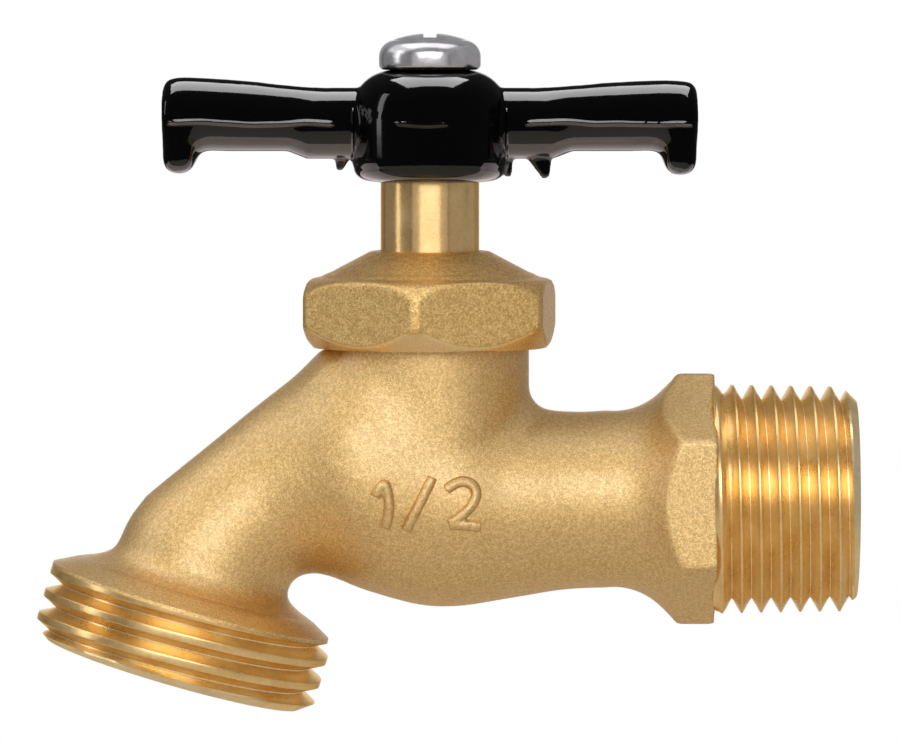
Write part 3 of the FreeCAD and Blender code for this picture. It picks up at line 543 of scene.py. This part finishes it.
# %% Ring with a thread outside and a bore inside
CLOSE = 1e-6


def ring_edges(shape, height, radius):
    """The edges of the circle that has this radius at this height."""
    return [edge for edge in shape.edges if all(
        abs(vertex.co.z - height) < WELD and abs(vertex.co.xy.length - radius) < CLOSE
        for vertex in edge.verts)]


def open_edges(shape, height):
    """The open edges that lie at this height."""
    return [edge for edge in shape.edges if edge.is_boundary and all(
        abs(vertex.co.z - height) < CLOSE for vertex in edge.verts)]


def cut_thread(pitch, crest_radius, start, end, phase, profile, bore, shaped):
    """A threaded ring along Z from start to end. shaped(z, below) gives a point's radius."""
    shape = wound(profile, pitch, crest_radius, start, end, phase)
    for height, keep in ((start, -1), (end, 1)):
        bmesh.ops.bisect_plane(shape, geom=shape.verts[:] + shape.edges[:] + shape.faces[:],
                               plane_co=(0, 0, height), plane_no=(0, 0, keep), clear_outer=True)
    layer = shape.verts.layers.float.new("groove_depth")
    deepest = max(below for _, below in profile)
    for vertex in shape.verts:
        flat = vertex.co.xy
        below = crest_radius - flat.length
        vertex.co.xy = flat.normalized() * shaped(vertex.co.z, below)
        vertex[layer] = (crest_radius - vertex.co.xy.length) / deepest
    for height, radius in bore:
        bmesh.ops.create_circle(shape, radius=radius, segments=STEPS_PER_TURN,
                                matrix=Matrix.Translation((0, 0, height)))
    rings = [ring_edges(shape, height, radius) for height, radius in bore]
    for one, other in zip(rings, rings[1:]):
        bmesh.ops.bridge_loops(shape, edges=one + other)
    for height in (start, end):
        bmesh.ops.bridge_loops(shape, edges=open_edges(shape, height))
    print("thread of pitch", round(pitch / MM, 3), "mm has",
          sum(edge.is_boundary for edge in shape.edges), "open edges")
    return shape


# %% [markdown]
# ## The inlet's pipe thread
# A half inch taper pipe thread: 14 crests to the inch, 21.3 mm over the crests by the flange and
# thinner towards the end. The groove runs out against the flange, where the die lifts off, and the
# last crest is turned down by a chamfer so that it enters the pipe.

# %% Inlet thread
INLET_PITCH = 25.4 / 14 * MM
INLET_RADIUS = 10.64 * MM
INLET_DEPTH = 1.34 * MM
INLET_START = FLANGE_X - 0.25 * MM
INLET_END = -0.45 * MM
INLET_BORE = 6.4 * MM
TAPER = 1.1 / 64
RUN_OUT_LENGTH = 1.5 * MM
NOSE_RADIUS = 8.70 * MM
NOSE_SLOPE = 0.98


def clamped(value, low=0.0):
    """The value, kept between low and 1."""
    return min(1.0, max(low, value))


def inlet_radius(z, below):
    crest = INLET_RADIUS - (z - FLANGE_X) * TAPER
    run_out = clamped((z - FLANGE_X + 0.2 * MM) / RUN_OUT_LENGTH, low=0.30)
    chamfer = NOSE_RADIUS - z * NOSE_SLOPE
    return min(crest - below * run_out, max(chamfer, crest - INLET_DEPTH))


inlet = cut_thread(
    INLET_PITCH, INLET_RADIUS, INLET_START, INLET_END, -6.51 * MM,
    groove_profile(INLET_PITCH, INLET_DEPTH, crest=0.07 * MM, root=0.07 * MM),
    [(INLET_END, INLET_BORE), (INLET_START, INLET_BORE)], inlet_radius)
inlet.transform(at_inlet)
piece_from("inlet_thread", inlet, turned_brass, "tap_body", 28)

# %% [markdown]
# ## The outlet's hose thread
# The hose end has the coarser garden hose thread: 11.5 crests to the inch, 27 mm over the crests,
# with wide flat crests that survive being dropped. Its bore is straight at first and then narrows
# into the spout.

# %% Outlet thread
OUTLET_PITCH = 25.4 / 11.5 * MM
OUTLET_RADIUS = 13.5 * MM
OUTLET_DEPTH = 1.38 * MM
TURNED_LENGTH = 6.74 * MM
MOUTH_RADIUS = 12.15 * MM
MOUTH_SLOPE = 1.35
HOSE_BORE = 9.4 * MM
BORE_LENGTH = 6.0 * MM
BORE_SLOPE = 1.54


def outlet_radius(z, below):
    chamfer = MOUTH_RADIUS + z * MOUTH_SLOPE
    return min(OUTLET_RADIUS - below, max(chamfer, OUTLET_RADIUS - OUTLET_DEPTH))


def outlet_bore(z):
    """(height, radius) of the bore at a height."""
    return z, HOSE_BORE - BORE_SLOPE * max(0.0, z - BORE_LENGTH)


outlet = cut_thread(
    OUTLET_PITCH, OUTLET_RADIUS, 0.0, TURNED_LENGTH, 0.73 * MM,
    groove_profile(OUTLET_PITCH, OUTLET_DEPTH, crest=0.50 * MM, root=0.10 * MM),
    [outlet_bore(0.0), outlet_bore(BORE_LENGTH), outlet_bore(TURNED_LENGTH)], outlet_radius)
outlet.transform(at_outlet)
piece_from("outlet_thread", outlet, turned_brass, "tap_body", 28)

# %% [markdown]
# ## The rim of the flared mouth
# The lathe stops just below the flared mouth, whose blasted skin reaches a crisp rim there, so the
# flare's edge is a ring of its own: a short profile spun round once. A casting never sits quite
# true in the lathe, so the rim is a little higher and narrower on the inlet's side, and only its
# lowest points stay in the plane where the lathe stopped.

# %% Spout rim
RIM_EDGE = 7.0 * MM
CAST_EDGE = 7.45 * MM
RIM_TOP = CAST_EDGE + 0.95 * MM
RIM_BEVEL = 0.4 * MM
CONE_SLOPE = 1.9
RIM_LIFT = 0.14 * MM
RIM_NARROWING = 0.40 * MM


def flare_radius(z):
    return OUTLET_RADIUS - 0.03 * MM - (z - RIM_EDGE) * CONE_SLOPE


rim = bmesh.new()
rim_profile = [(TURNED_LENGTH, OUTLET_RADIUS), (RIM_EDGE, flare_radius(RIM_EDGE)),
               (RIM_TOP - RIM_BEVEL, flare_radius(RIM_TOP - RIM_BEVEL)),
               (RIM_TOP, flare_radius(RIM_TOP) - RIM_BEVEL / 2),
               outlet_bore(RIM_TOP), outlet_bore(TURNED_LENGTH)]
corners = [rim.verts.new((radius, 0, z)) for z, radius in rim_profile]
for one, other in zip(corners, corners[1:] + corners[:1]):
    rim.edges.new((one, other))
bmesh.ops.spin(rim, geom=rim.verts[:] + rim.edges[:], cent=(0, 0, 0), axis=(0, 0, 1),
               angle=math.tau, steps=STEPS_PER_TURN, use_merge=True)
for vertex in rim.verts:
    flat = vertex.co.xy
    if flat.length > 12.0 * MM and vertex.co.z < 7.5 * MM:
        towards_inlet = (1 + flat.x / flat.length) / 2
        if vertex.co.z > TURNED_LENGTH + 0.01 * MM:
            vertex.co.z += RIM_LIFT * towards_inlet
        vertex.co.xy = flat * (1 - RIM_NARROWING * towards_inlet / flat.length)
rim.transform(at_outlet)
piece_from("spout_rim", rim, cast_brass, "tap_body", 28)

# %% [markdown]
# ## The casting
# The body is one lump of brass. Its CAD mesh is cut where the turned threads begin, and each cut
# is closed by a bridge between its outer and inner loop. So the threads stay crisp pieces of their
# own, and only the casting gets a soft skin.

# %% Cut the casting free of its threads
casting = copy_of("valve_body")


def cut_flat(shape, point, normal, depth):
    """Cuts away what lies beyond a plane, closes the ring and moves it out by the depth."""
    inner_point = point - normal * depth
    cut = bmesh.ops.bisect_plane(shape, geom=shape.verts[:] + shape.edges[:] + shape.faces[:],
                                 dist=1e-8, plane_co=inner_point, plane_no=normal,
                                 clear_outer=True)
    edges = [item for item in cut["geom_cut"] if isinstance(item, bmesh.types.BMEdge)]
    bmesh.ops.bridge_loops(shape, edges=edges)
    ring = {vertex for edge in edges for vertex in edge.verts}
    bmesh.ops.translate(shape, verts=list(ring), vec=normal * depth)
    print("cut ring of", len(edges), "edges,",
          sum(edge.is_boundary for edge in shape.edges), "open edges in all")


cut_flat(casting, Vector((FLANGE_X, 0, 0)), Vector((1, 0, 0)), 0.1 * MM)
cut_flat(casting, spout_end + into_spout * CAST_EDGE, -into_spout, 0.05 * MM)

# %% [markdown]
# ## The raised size mark
# The foundry cuts the size into the mould, so it stands proud of the casting, worn soft by the
# blasting. Each stroke is a curve with a round bevel, which becomes a mesh. Its points are shot at
# the casting along the view, so the strokes lie half sunk on the curved body like beads of solder.
# The mark gets its own skin, because its strokes are finer than the voxels that suit the body.

# %% Size mark
STROKE_RADIUS = 0.50 * MM
STROKE_SINKING = 0.12 * MM
MARK_VOXEL = 0.12 * MM
MARK_STROKES = [  # (x, z) in millimetres
    [(-45.0, 0.9), (-44.2, 2.4), (-43.8, 1.2), (-43.65, -0.6), (-44.1, -2.1)],
    [(-39.75, 2.6), (-40.8, 0.4), (-42.2, -2.3)],
    [(-38.5, 1.5), (-37.4, 2.4), (-35.9, 2.0), (-35.6, 0.7), (-36.9, -0.9), (-38.2, -1.7)],
    [(-38.2, -1.8), (-36.8, -1.7), (-35.3, -2.0)],
]
surface = BVHTree.FromBMesh(casting)
strokes = bpy.data.curves.new("size_mark", "CURVE")
strokes.dimensions = "3D"
strokes.bevel_depth = STROKE_RADIUS
strokes.bevel_resolution = 4
strokes.use_fill_caps = True
for line in MARK_STROKES:
    spline = strokes.splines.new("NURBS")
    spline.points.add(len(line) - 1)
    spline.order_u = 3
    spline.use_endpoint_u = True
    for point, (x, z) in zip(spline.points, line):
        point.co = (x * MM, 0, z * MM, 1)
holder = placed("size_mark", strokes)
bpy.context.view_layer.update()
mark = bmesh.new()
mark.from_mesh(holder.to_mesh())
bpy.data.objects.remove(holder)
bmesh.ops.remove_doubles(mark, verts=mark.verts, dist=CLOSE)
for vertex in mark.verts:
    in_front = Vector((vertex.co.x, -50 * MM, vertex.co.z))
    hit = surface.ray_cast(in_front, Vector((0, 1, 0)))[0]
    vertex.co.y += hit.y - STROKE_SINKING
dressed("size_mark", softened(mark, MARK_VOXEL, 4), cast_brass, "tap_body")

# %% [markdown]
# ## The skin of the casting
# One voxel skin with a little smoothing rounds all corners alike, as sand does. Where the neck, the
# tube and the spout grow out of each other the pattern maker filled the corners with wide fillets,
# so the skin is blended away there. The bores inside are left as they are.

# %% Skin of the casting
BODY_VOXEL = 0.34 * MM
NECK_SPOTS = [(-45.6 * MM, 7.6 * MM, 8.5 * MM), (-49.2 * MM, 12.0 * MM, 5.0 * MM),
              (-49.6 * MM, -5.6 * MM, 5.5 * MM)]
FLARE_SPOT = (-60.8 * MM, -5.2 * MM, 17 * MM)


def outside_the_bores(place):
    return abs(place.y) > 4.9 * MM and from_stem(place) > 8.0 * MM


def where_flare_meets_spout(place):
    along = (place - spout_end).dot(into_spout)
    away = (place - spout_end - into_spout * along).length
    return 8.6 * MM < along < 15.0 * MM and away > 6.5 * MM


body_skin = softened(casting, BODY_VOXEL, 4)
smoothed_around(body_skin, NECK_SPOTS, 45, outside_the_bores)
smoothed_around(body_skin, [FLARE_SPOT], 14, where_flare_meets_spout)
tap_casting = dressed("tap_casting", body_skin, cast_brass, "tap_body")
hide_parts("valve_body")

# %% [markdown]
# ## The bonnet
# The hexagon cap nut is forged and blasted like the body, so its edges are soft too. The same skin
# is laid over its CAD mesh at a finer size, because its corners are crisper than the body's. The
# smoothing takes a little off the flats, so they are moved out again. A lathe then turns the
# corners round and cuts a cone under them, which leaves an arc at the foot of each flat.

# %% Bonnet
BONNET_VOXEL = 0.22 * MM
SIDES_BEGIN = 9.3 * MM
SIDES_MOVED_OUT = 1.012
CORNERS_TURNED_OFF = 0.18 * MM

bonnet_skin = softened(copy_of("bonnet"), BONNET_VOXEL, 2)
for vertex in bonnet_skin.vertices:
    if from_stem(vertex.co) > SIDES_BEGIN:
        widened(vertex, SIDES_MOVED_OUT, SIDES_MOVED_OUT)
corner = max(from_stem(vertex.co) for vertex in bonnet_skin.vertices
             if 17 * MM < vertex.co.z < 18 * MM)
print("bonnet's corners at", round(corner / MM, 2), "mm from the stem's axis")
drawn_in(bonnet_skin, lambda z: corner - CORNERS_TURNED_OFF)
drawn_in(bonnet_skin, lambda z: BONNET_FLATS + (z - BONNET_FOOT) * CONE_PER_HEIGHT)
bonnet_cap = dressed("bonnet_cap", bonnet_skin, bonnet_brass, "tap_body")
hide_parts("bonnet")

# %% [markdown]
# ## The vinyl coat of the handle
# Liquid vinyl rounds every corner and fills out the feet at the arms' tips. It hangs in small torn
# flaps where it was trimmed around the stem. The flaps are cones flattened into tabs, the feet are
# blocks with wide bevels, and one skin joins them to the coat.

# %% Handle coat
FOOT_LENGTH, FOOT_WIDTH, FOOT_HEIGHT = 3.1 * MM, 6.1 * MM, 5.2 * MM
FOOT_BEVEL = 1.25 * MM
COAT_VOXEL = 0.2 * MM


def at(x, y, z):
    """The place that lies so many millimetres from the frame's origin."""
    return Vector((x * MM, y * MM, z * MM))


def add_tab(shape, top, tip, width, thickness, sharpness):
    """A small flat tab of torn vinyl that hangs from top to tip."""
    down = tip - top
    place = standing_at((top + tip) / 2, -down, Vector((1, 0, 0)))
    bmesh.ops.create_cone(shape, cap_ends=True, segments=24, radius1=width * sharpness,
                          radius2=width / 2, depth=down.length,
                          matrix=place @ Matrix.Diagonal((1, thickness / width, 1, 1)))


def add_foot(shape, x, bottom):
    """The rounded block that fills out the foot below an arm's tip."""
    middle = Matrix.Translation((x, 0, bottom + FOOT_HEIGHT / 2))
    scale = Matrix.Diagonal((FOOT_LENGTH, FOOT_WIDTH, FOOT_HEIGHT, 1))
    foot = bmesh.ops.create_cube(shape, size=1.0, matrix=middle @ scale)
    edges = {edge for vertex in foot["verts"] for edge in vertex.link_edges}
    bmesh.ops.bevel(shape, geom=list(edges), offset=FOOT_BEVEL, segments=6, profile=0.5,
                    affect="EDGES", material=-1)


coat = copy_of("handle_cover")
add_foot(coat, -63.2 * MM, 30.2 * MM)
add_foot(coat, -16.85 * MM, 30.05 * MM)
add_tab(coat, at(-30.1, -0.5, 32.7), at(-29.2, -0.8, 29.8), 3.0 * MM, 1.4 * MM, 0.13)
add_tab(coat, at(-32.65, -0.4, 31.9), at(-32.75, -0.4, 29.9), 0.8 * MM, 0.8 * MM, 0.4)
add_tab(coat, at(-48.0, -0.3, 32.4), at(-48.4, -0.3, 30.5), 2.0 * MM, 1.2 * MM, 0.16)
coat_skin = softened(coat, COAT_VOXEL, 3)
print("coat has", len(coat_skin.vertices), "points")

# %% [markdown]
# ## The run of the vinyl on the arms
# The coat ran while it cured: it is a little thicker on the left arm's tip and thinner on the
# right one, and it fills the corners at the feet and where the arms leave the hub.

# %% Feet and arms
TIP_FROM_STEM = 12 * MM
LEFT_TIP_CHANGE = 0.22 * MM
RIGHT_TIP_CHANGE = -0.08 * MM
FILLED_CORNERS = [(-62.6 * MM, 32.4 * MM, 3.6 * MM), (-17.6 * MM, 32.4 * MM, 3.6 * MM),
                  (-52.6 * MM, 37.6 * MM, 3.4 * MM), (-27.4 * MM, 37.6 * MM, 3.4 * MM),
                  (-64.8 * MM, 39.0 * MM, 2.0 * MM), (-15.4 * MM, 38.6 * MM, 2.6 * MM)]

for vertex in coat_skin.vertices:
    towards_tip = clamped((abs(vertex.co.x - STEM_X) - TIP_FROM_STEM) / TIP_FROM_STEM)
    upper_half = clamped((vertex.co.z - 35 * MM) / (3.5 * MM))
    change = LEFT_TIP_CHANGE if vertex.co.x < STEM_X else RIGHT_TIP_CHANGE
    vertex.co.z += change * towards_tip * upper_half
smoothed_around(coat_skin, FILLED_CORNERS, 16)

# %% [markdown]
# ## The hub of the handle
# The hub has the bulge of a hanging drop. Its shoulder is drawn in along a quarter of an ellipse,
# except where the arms leave it, and its lower edge is widened along a smaller one, which fades out
# under the arms.

# %% Shoulder and foot of the hub
SHOULDER = 35.7 * MM
HUB_TOP = 39.85 * MM
HUB_FOOT = 29.4 * MM
FOOT_ROUNDING = 1.6 * MM
FOOT_FADE = 31.2 * MM
HUB_INNER, HUB_OUTER = 5.6 * MM, 7.2 * MM


def shoulder_radius(z):
    rise = min(1.0, (z - SHOULDER) / (HUB_TOP - SHOULDER))
    return 4.3 * MM + 2.9 * MM * math.sqrt(1 - rise * rise)


def foot_radius(z):
    rise = clamped((z - HUB_FOOT) / FOOT_ROUNDING)
    return 6.0 * MM + 1.1 * MM * math.sqrt(1 - (1 - rise) ** 2)


def on_arm(place):
    return abs(place.y) < 3.7 * MM and place.z < 38.3 * MM


drawn_in(coat_skin, shoulder_radius, SHOULDER, 7.35 * MM, on_arm)
for vertex in coat_skin.vertices:
    away = from_stem(vertex.co)
    fade = 1 - clamped((vertex.co.z - FOOT_FADE) / (1.2 * MM))
    if HUB_INNER < away < HUB_OUTER:
        inner_fade = (away - HUB_INNER) / (HUB_OUTER - HUB_INNER)
        wider = 1 + (max(foot_radius(vertex.co.z), away) / away - 1) * fade * inner_fade
        widened(vertex, wider, wider)
handle_skin = dressed("handle_skin", coat_skin, black_vinyl, "spindle")
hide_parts("handle_cover")

# %% [markdown]
# ## The screw's head
# The chromed screw has a full round head. Its drawing is a flat pan, so each height of the skin is
# widened to the outline of a squarish dome. What lies in the cross recess is left where it is, so
# the recess keeps its width.

# %% Screw
SCREW_VOXEL = 0.11 * MM
HEAD_FOOT = 40.7 * MM
HEAD_MIDDLE = 42.2 * MM
LEVEL_HEIGHT = 0.1 * MM
DOME_RADIUS = 4.74 * MM
DOME_POWER = 2.4
MOST_WIDENING = 2.6
RECESS_HALF_WIDTH = 0.75 * MM


def level_of(place):
    return round((place.z - HEAD_FOOT) / LEVEL_HEIGHT)


screw_skin = softened(copy_of("handle_screw"), SCREW_VOXEL, 3)
head_rise = max(vertex.co.z for vertex in screw_skin.vertices) - HEAD_FOOT
drawn_radius = {}
for vertex in screw_skin.vertices:
    level = level_of(vertex.co)
    drawn_radius[level] = max(drawn_radius.get(level, 0), from_stem(vertex.co))
for vertex in screw_skin.vertices:
    level = level_of(vertex.co)
    if level > 0:
        rise = min(1.0, (vertex.co.z - HEAD_FOOT) / head_rise)
        dome = DOME_RADIUS * (1 - rise ** DOME_POWER) ** (1 / DOME_POWER)
        wider = min(MOST_WIDENING, max(1.0, dome / drawn_radius[level]))
        widened(vertex, wider if abs(vertex.co.x - STEM_X) > RECESS_HALF_WIDTH else 1.0,
                wider if abs(vertex.co.y) > RECESS_HALF_WIDTH else 1.0)
smoothed_around(screw_skin, [(STEM_X, HEAD_MIDDLE, 6 * MM)], 2)
screw_head = dressed("screw_head", screw_skin, chrome, "spindle")
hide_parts("handle_screw")

# %% [markdown]
# ## Floor and backdrop
# The photograph has a plain white background. The floor is a round pale table well below the tap,
# which hangs on its pipe. Light Path shows it white to the camera and in its own pale colour to the
# metal. Near the tap a part of its own shading is kept, and with it the tap's shadow, and it fades
# to pure white before its edge, so the edge never shows.

# %% Floor's material
FLOOR_COLOUR = (0.60, 0.55, 0.47, 1)
SHADOW_SHARE = 0.2


def rays(start):
    """Two masks: the rays that come from the camera, and those that metal or glass sends on."""
    from_camera = start.node("ShaderNodeLightPath", output="Is Camera Ray")
    from_metal = start.node("ShaderNodeLightPath", output="Is Glossy Ray")
    from_glass = start.node("ShaderNodeLightPath", output="Is Transmission Ray")
    return from_camera, from_metal + from_glass


def pale_floor_material():
    made = bpy.data.materials.new("pale_floor")
    made.use_nodes = True
    tree = made.node_tree
    shader = tree.nodes["Principled BSDF"]
    shader.inputs["Base Color"].default_value = FLOOR_COLOUR
    shader.inputs["Roughness"].default_value = 0.9
    start = Flow(tree, None)
    place = start.node("ShaderNodeTexCoord", output="Object")
    away = place.node("ShaderNodeVectorMath", {0: place, 1: (-0.04, 0.0, 0.0)}, output="Value",
                      operation="DISTANCE")
    near = 1 - away.between(0.05, 0.16)
    from_camera, mirrored = rays(start)
    white = from_camera * (1 - near * SHADOW_SHARE) + mirrored * near * SHADOW_SHARE
    glow = start.node("ShaderNodeEmission", {"Strength": 1.0})
    mixed = start.node("ShaderNodeMixShader", {0: white, 1: Flow(tree, shader.outputs[0]),
                                               2: glow})
    tree.links.new(mixed.socket, tree.nodes["Material Output"].inputs["Surface"])
    return made


# %% Floor
FLOOR_CENTRE = (-0.04, 0, -0.045)
FLOOR_RADIUS = 0.18

ground = bmesh.new()
bmesh.ops.create_circle(ground, cap_ends=True, segments=96, radius=FLOOR_RADIUS,
                        matrix=Matrix.Translation(FLOOR_CENTRE))
floor_mesh = bpy.data.meshes.new("floor")
ground.to_mesh(floor_mesh)
ground.free()
floor_mesh.materials.append(pale_floor_material())
floor = placed("floor", floor_mesh)
print("floor", 2 * FLOOR_RADIUS, "m across")

# %% [markdown]
# ## Light
# The stem tells how the real light stood: a bright stripe in its middle is a soft light in front
# and a little above, a narrow one near its left edge is a strip at the side, and the threads show
# a ceiling light. Dim walls of light stand for the bright room. Glossy black vinyl would mirror
# them all as grey. So light linking leaves the handle out of them, and it gets a ceiling strip, the
# side strip and a faint pink glow from just below its arms.


# %% Lamps and whom they light
def linked(name, state):
    """A collection that leaves the handle's vinyl out of a lamp, or picks only that."""
    made = bpy.data.collections.new(name)
    for piece in (handle_skin, nodes["handle_cover"]):
        made.objects.link(piece)
    for entry in made.collection_objects:
        entry.light_linking.link_state = state
    return made


all_but_handle = linked("all_but_handle", "EXCLUDE")
only_handle = linked("only_handle", "INCLUDE")


def soft_light(name, place, width, height, radiance, receivers=None, colour=(1, 1, 1),
               aim=Vector((-0.038, 0, 0.012))):
    """An area lamp, aimed at the tap's middle. Its power follows from how bright it looks."""
    lamp = bpy.data.lights.new(name, "AREA")
    lamp.shape = "RECTANGLE"
    lamp.size = width
    lamp.size_y = height
    lamp.energy = radiance * math.pi * width * height
    lamp.color = colour
    made = placed(name, lamp)
    made.location = place
    made.rotation_euler = (aim - Vector(place)).to_track_quat("-Z", "Y").to_euler()
    made.visible_camera = False
    if receivers:
        made.light_linking.receiver_collection = receivers
    print(name, "gives", round(lamp.energy, 3), "W")


# %% Lamps
WALL_SIZE = 2.4
WALLS = [  # name, place, radiance
    ("front_wall", (-0.04, -1.3, 0.0), 0.50),
    ("right_wall", (1.2, 0, 0.1), 0.34),
    ("left_wall", (-1.3, 0, 0.1), 0.22),
    ("back_wall", (0, 1.3, 0.1), 0.30),
    ("ceiling", (0, 0, 1.3), 0.30),
]
FAINT_PINK = (1.0, 0.87, 0.88)

soft_light("front_light", (-0.04, -0.85, 0.33), 0.78, 0.42, 3.4, all_but_handle)
soft_light("top_light", (-0.04, -0.02, 0.85), 1.1, 0.55, 1.2, all_but_handle)
soft_light("upper_left_light", (-0.70, 0.02, 0.74), 0.9, 0.9, 0.7, all_but_handle)
soft_light("side_strip", (-0.84, -0.14, 0.28), 0.14, 0.55, 2.6)
for name, place, radiance in WALLS:
    soft_light(name, place, WALL_SIZE, WALL_SIZE, radiance, all_but_handle)
soft_light("handle_ceiling", (-0.04, 0.12, 0.74), 0.70, 0.58, 6.5, only_handle)
soft_light("handle_glow", (-0.04, 0.003, 0.0245), 0.085, 0.018, 1.4, only_handle, FAINT_PINK,
           aim=Vector((-0.04, 0.0, 0.2)))

# %% [markdown]
# ## World
# The camera sees a white world. The metal sees a nearly black one with a white backdrop straight
# behind the tap, because white all round would wash out its colour.

# %% World
DIM = (0.04, 0.04, 0.04, 1)
WHITE = (1, 1, 1, 1)

world = bpy.data.worlds.new("studio")
bpy.context.scene.world = world
world.use_nodes = True
sky = world.node_tree.nodes["Background"]
start = Flow(world.node_tree, None)
from_camera, mirrored = rays(start)
behind = start.node("ShaderNodeTexCoord", output="Generated").axis(1).between(0.93, 0.99)
room = (from_camera + mirrored * behind).blend(DIM, WHITE)
world.node_tree.links.new(room.socket, sky.inputs["Color"])
sky.inputs["Strength"].default_value = 1.0
print("world has", len(world.node_tree.nodes), "nodes")

# %% [markdown]
# ## Camera
# The flange, the neck and the handle look nearly the same in front and behind, so the photograph
# was taken from far away with a long lens, level with the tap and barely above it. The lens follows
# from how wide the picture is where the tap stands.

# %% Camera
DISTANCE = 0.72
FRAME_WIDTH = 83.52 * MM
SENSOR_WIDTH = 36.0
TILT = math.radians(2.75)

target = at(-38.14, 0, 11.79)
camera_data = bpy.data.cameras.new("camera")
camera_data.sensor_width = SENSOR_WIDTH
camera_data.lens = SENSOR_WIDTH * DISTANCE / FRAME_WIDTH
camera_data.clip_start = 0.01
camera = placed("camera", camera_data)
camera.location = target + Vector((0, -math.cos(TILT), math.sin(TILT))) * DISTANCE
camera.rotation_euler = (target - camera.location).to_track_quat("-Z", "Y").to_euler()
bpy.context.scene.camera = camera
bpy.context.scene.view_settings.view_transform = "Standard"
print("lens", round(camera_data.lens, 1), "mm")
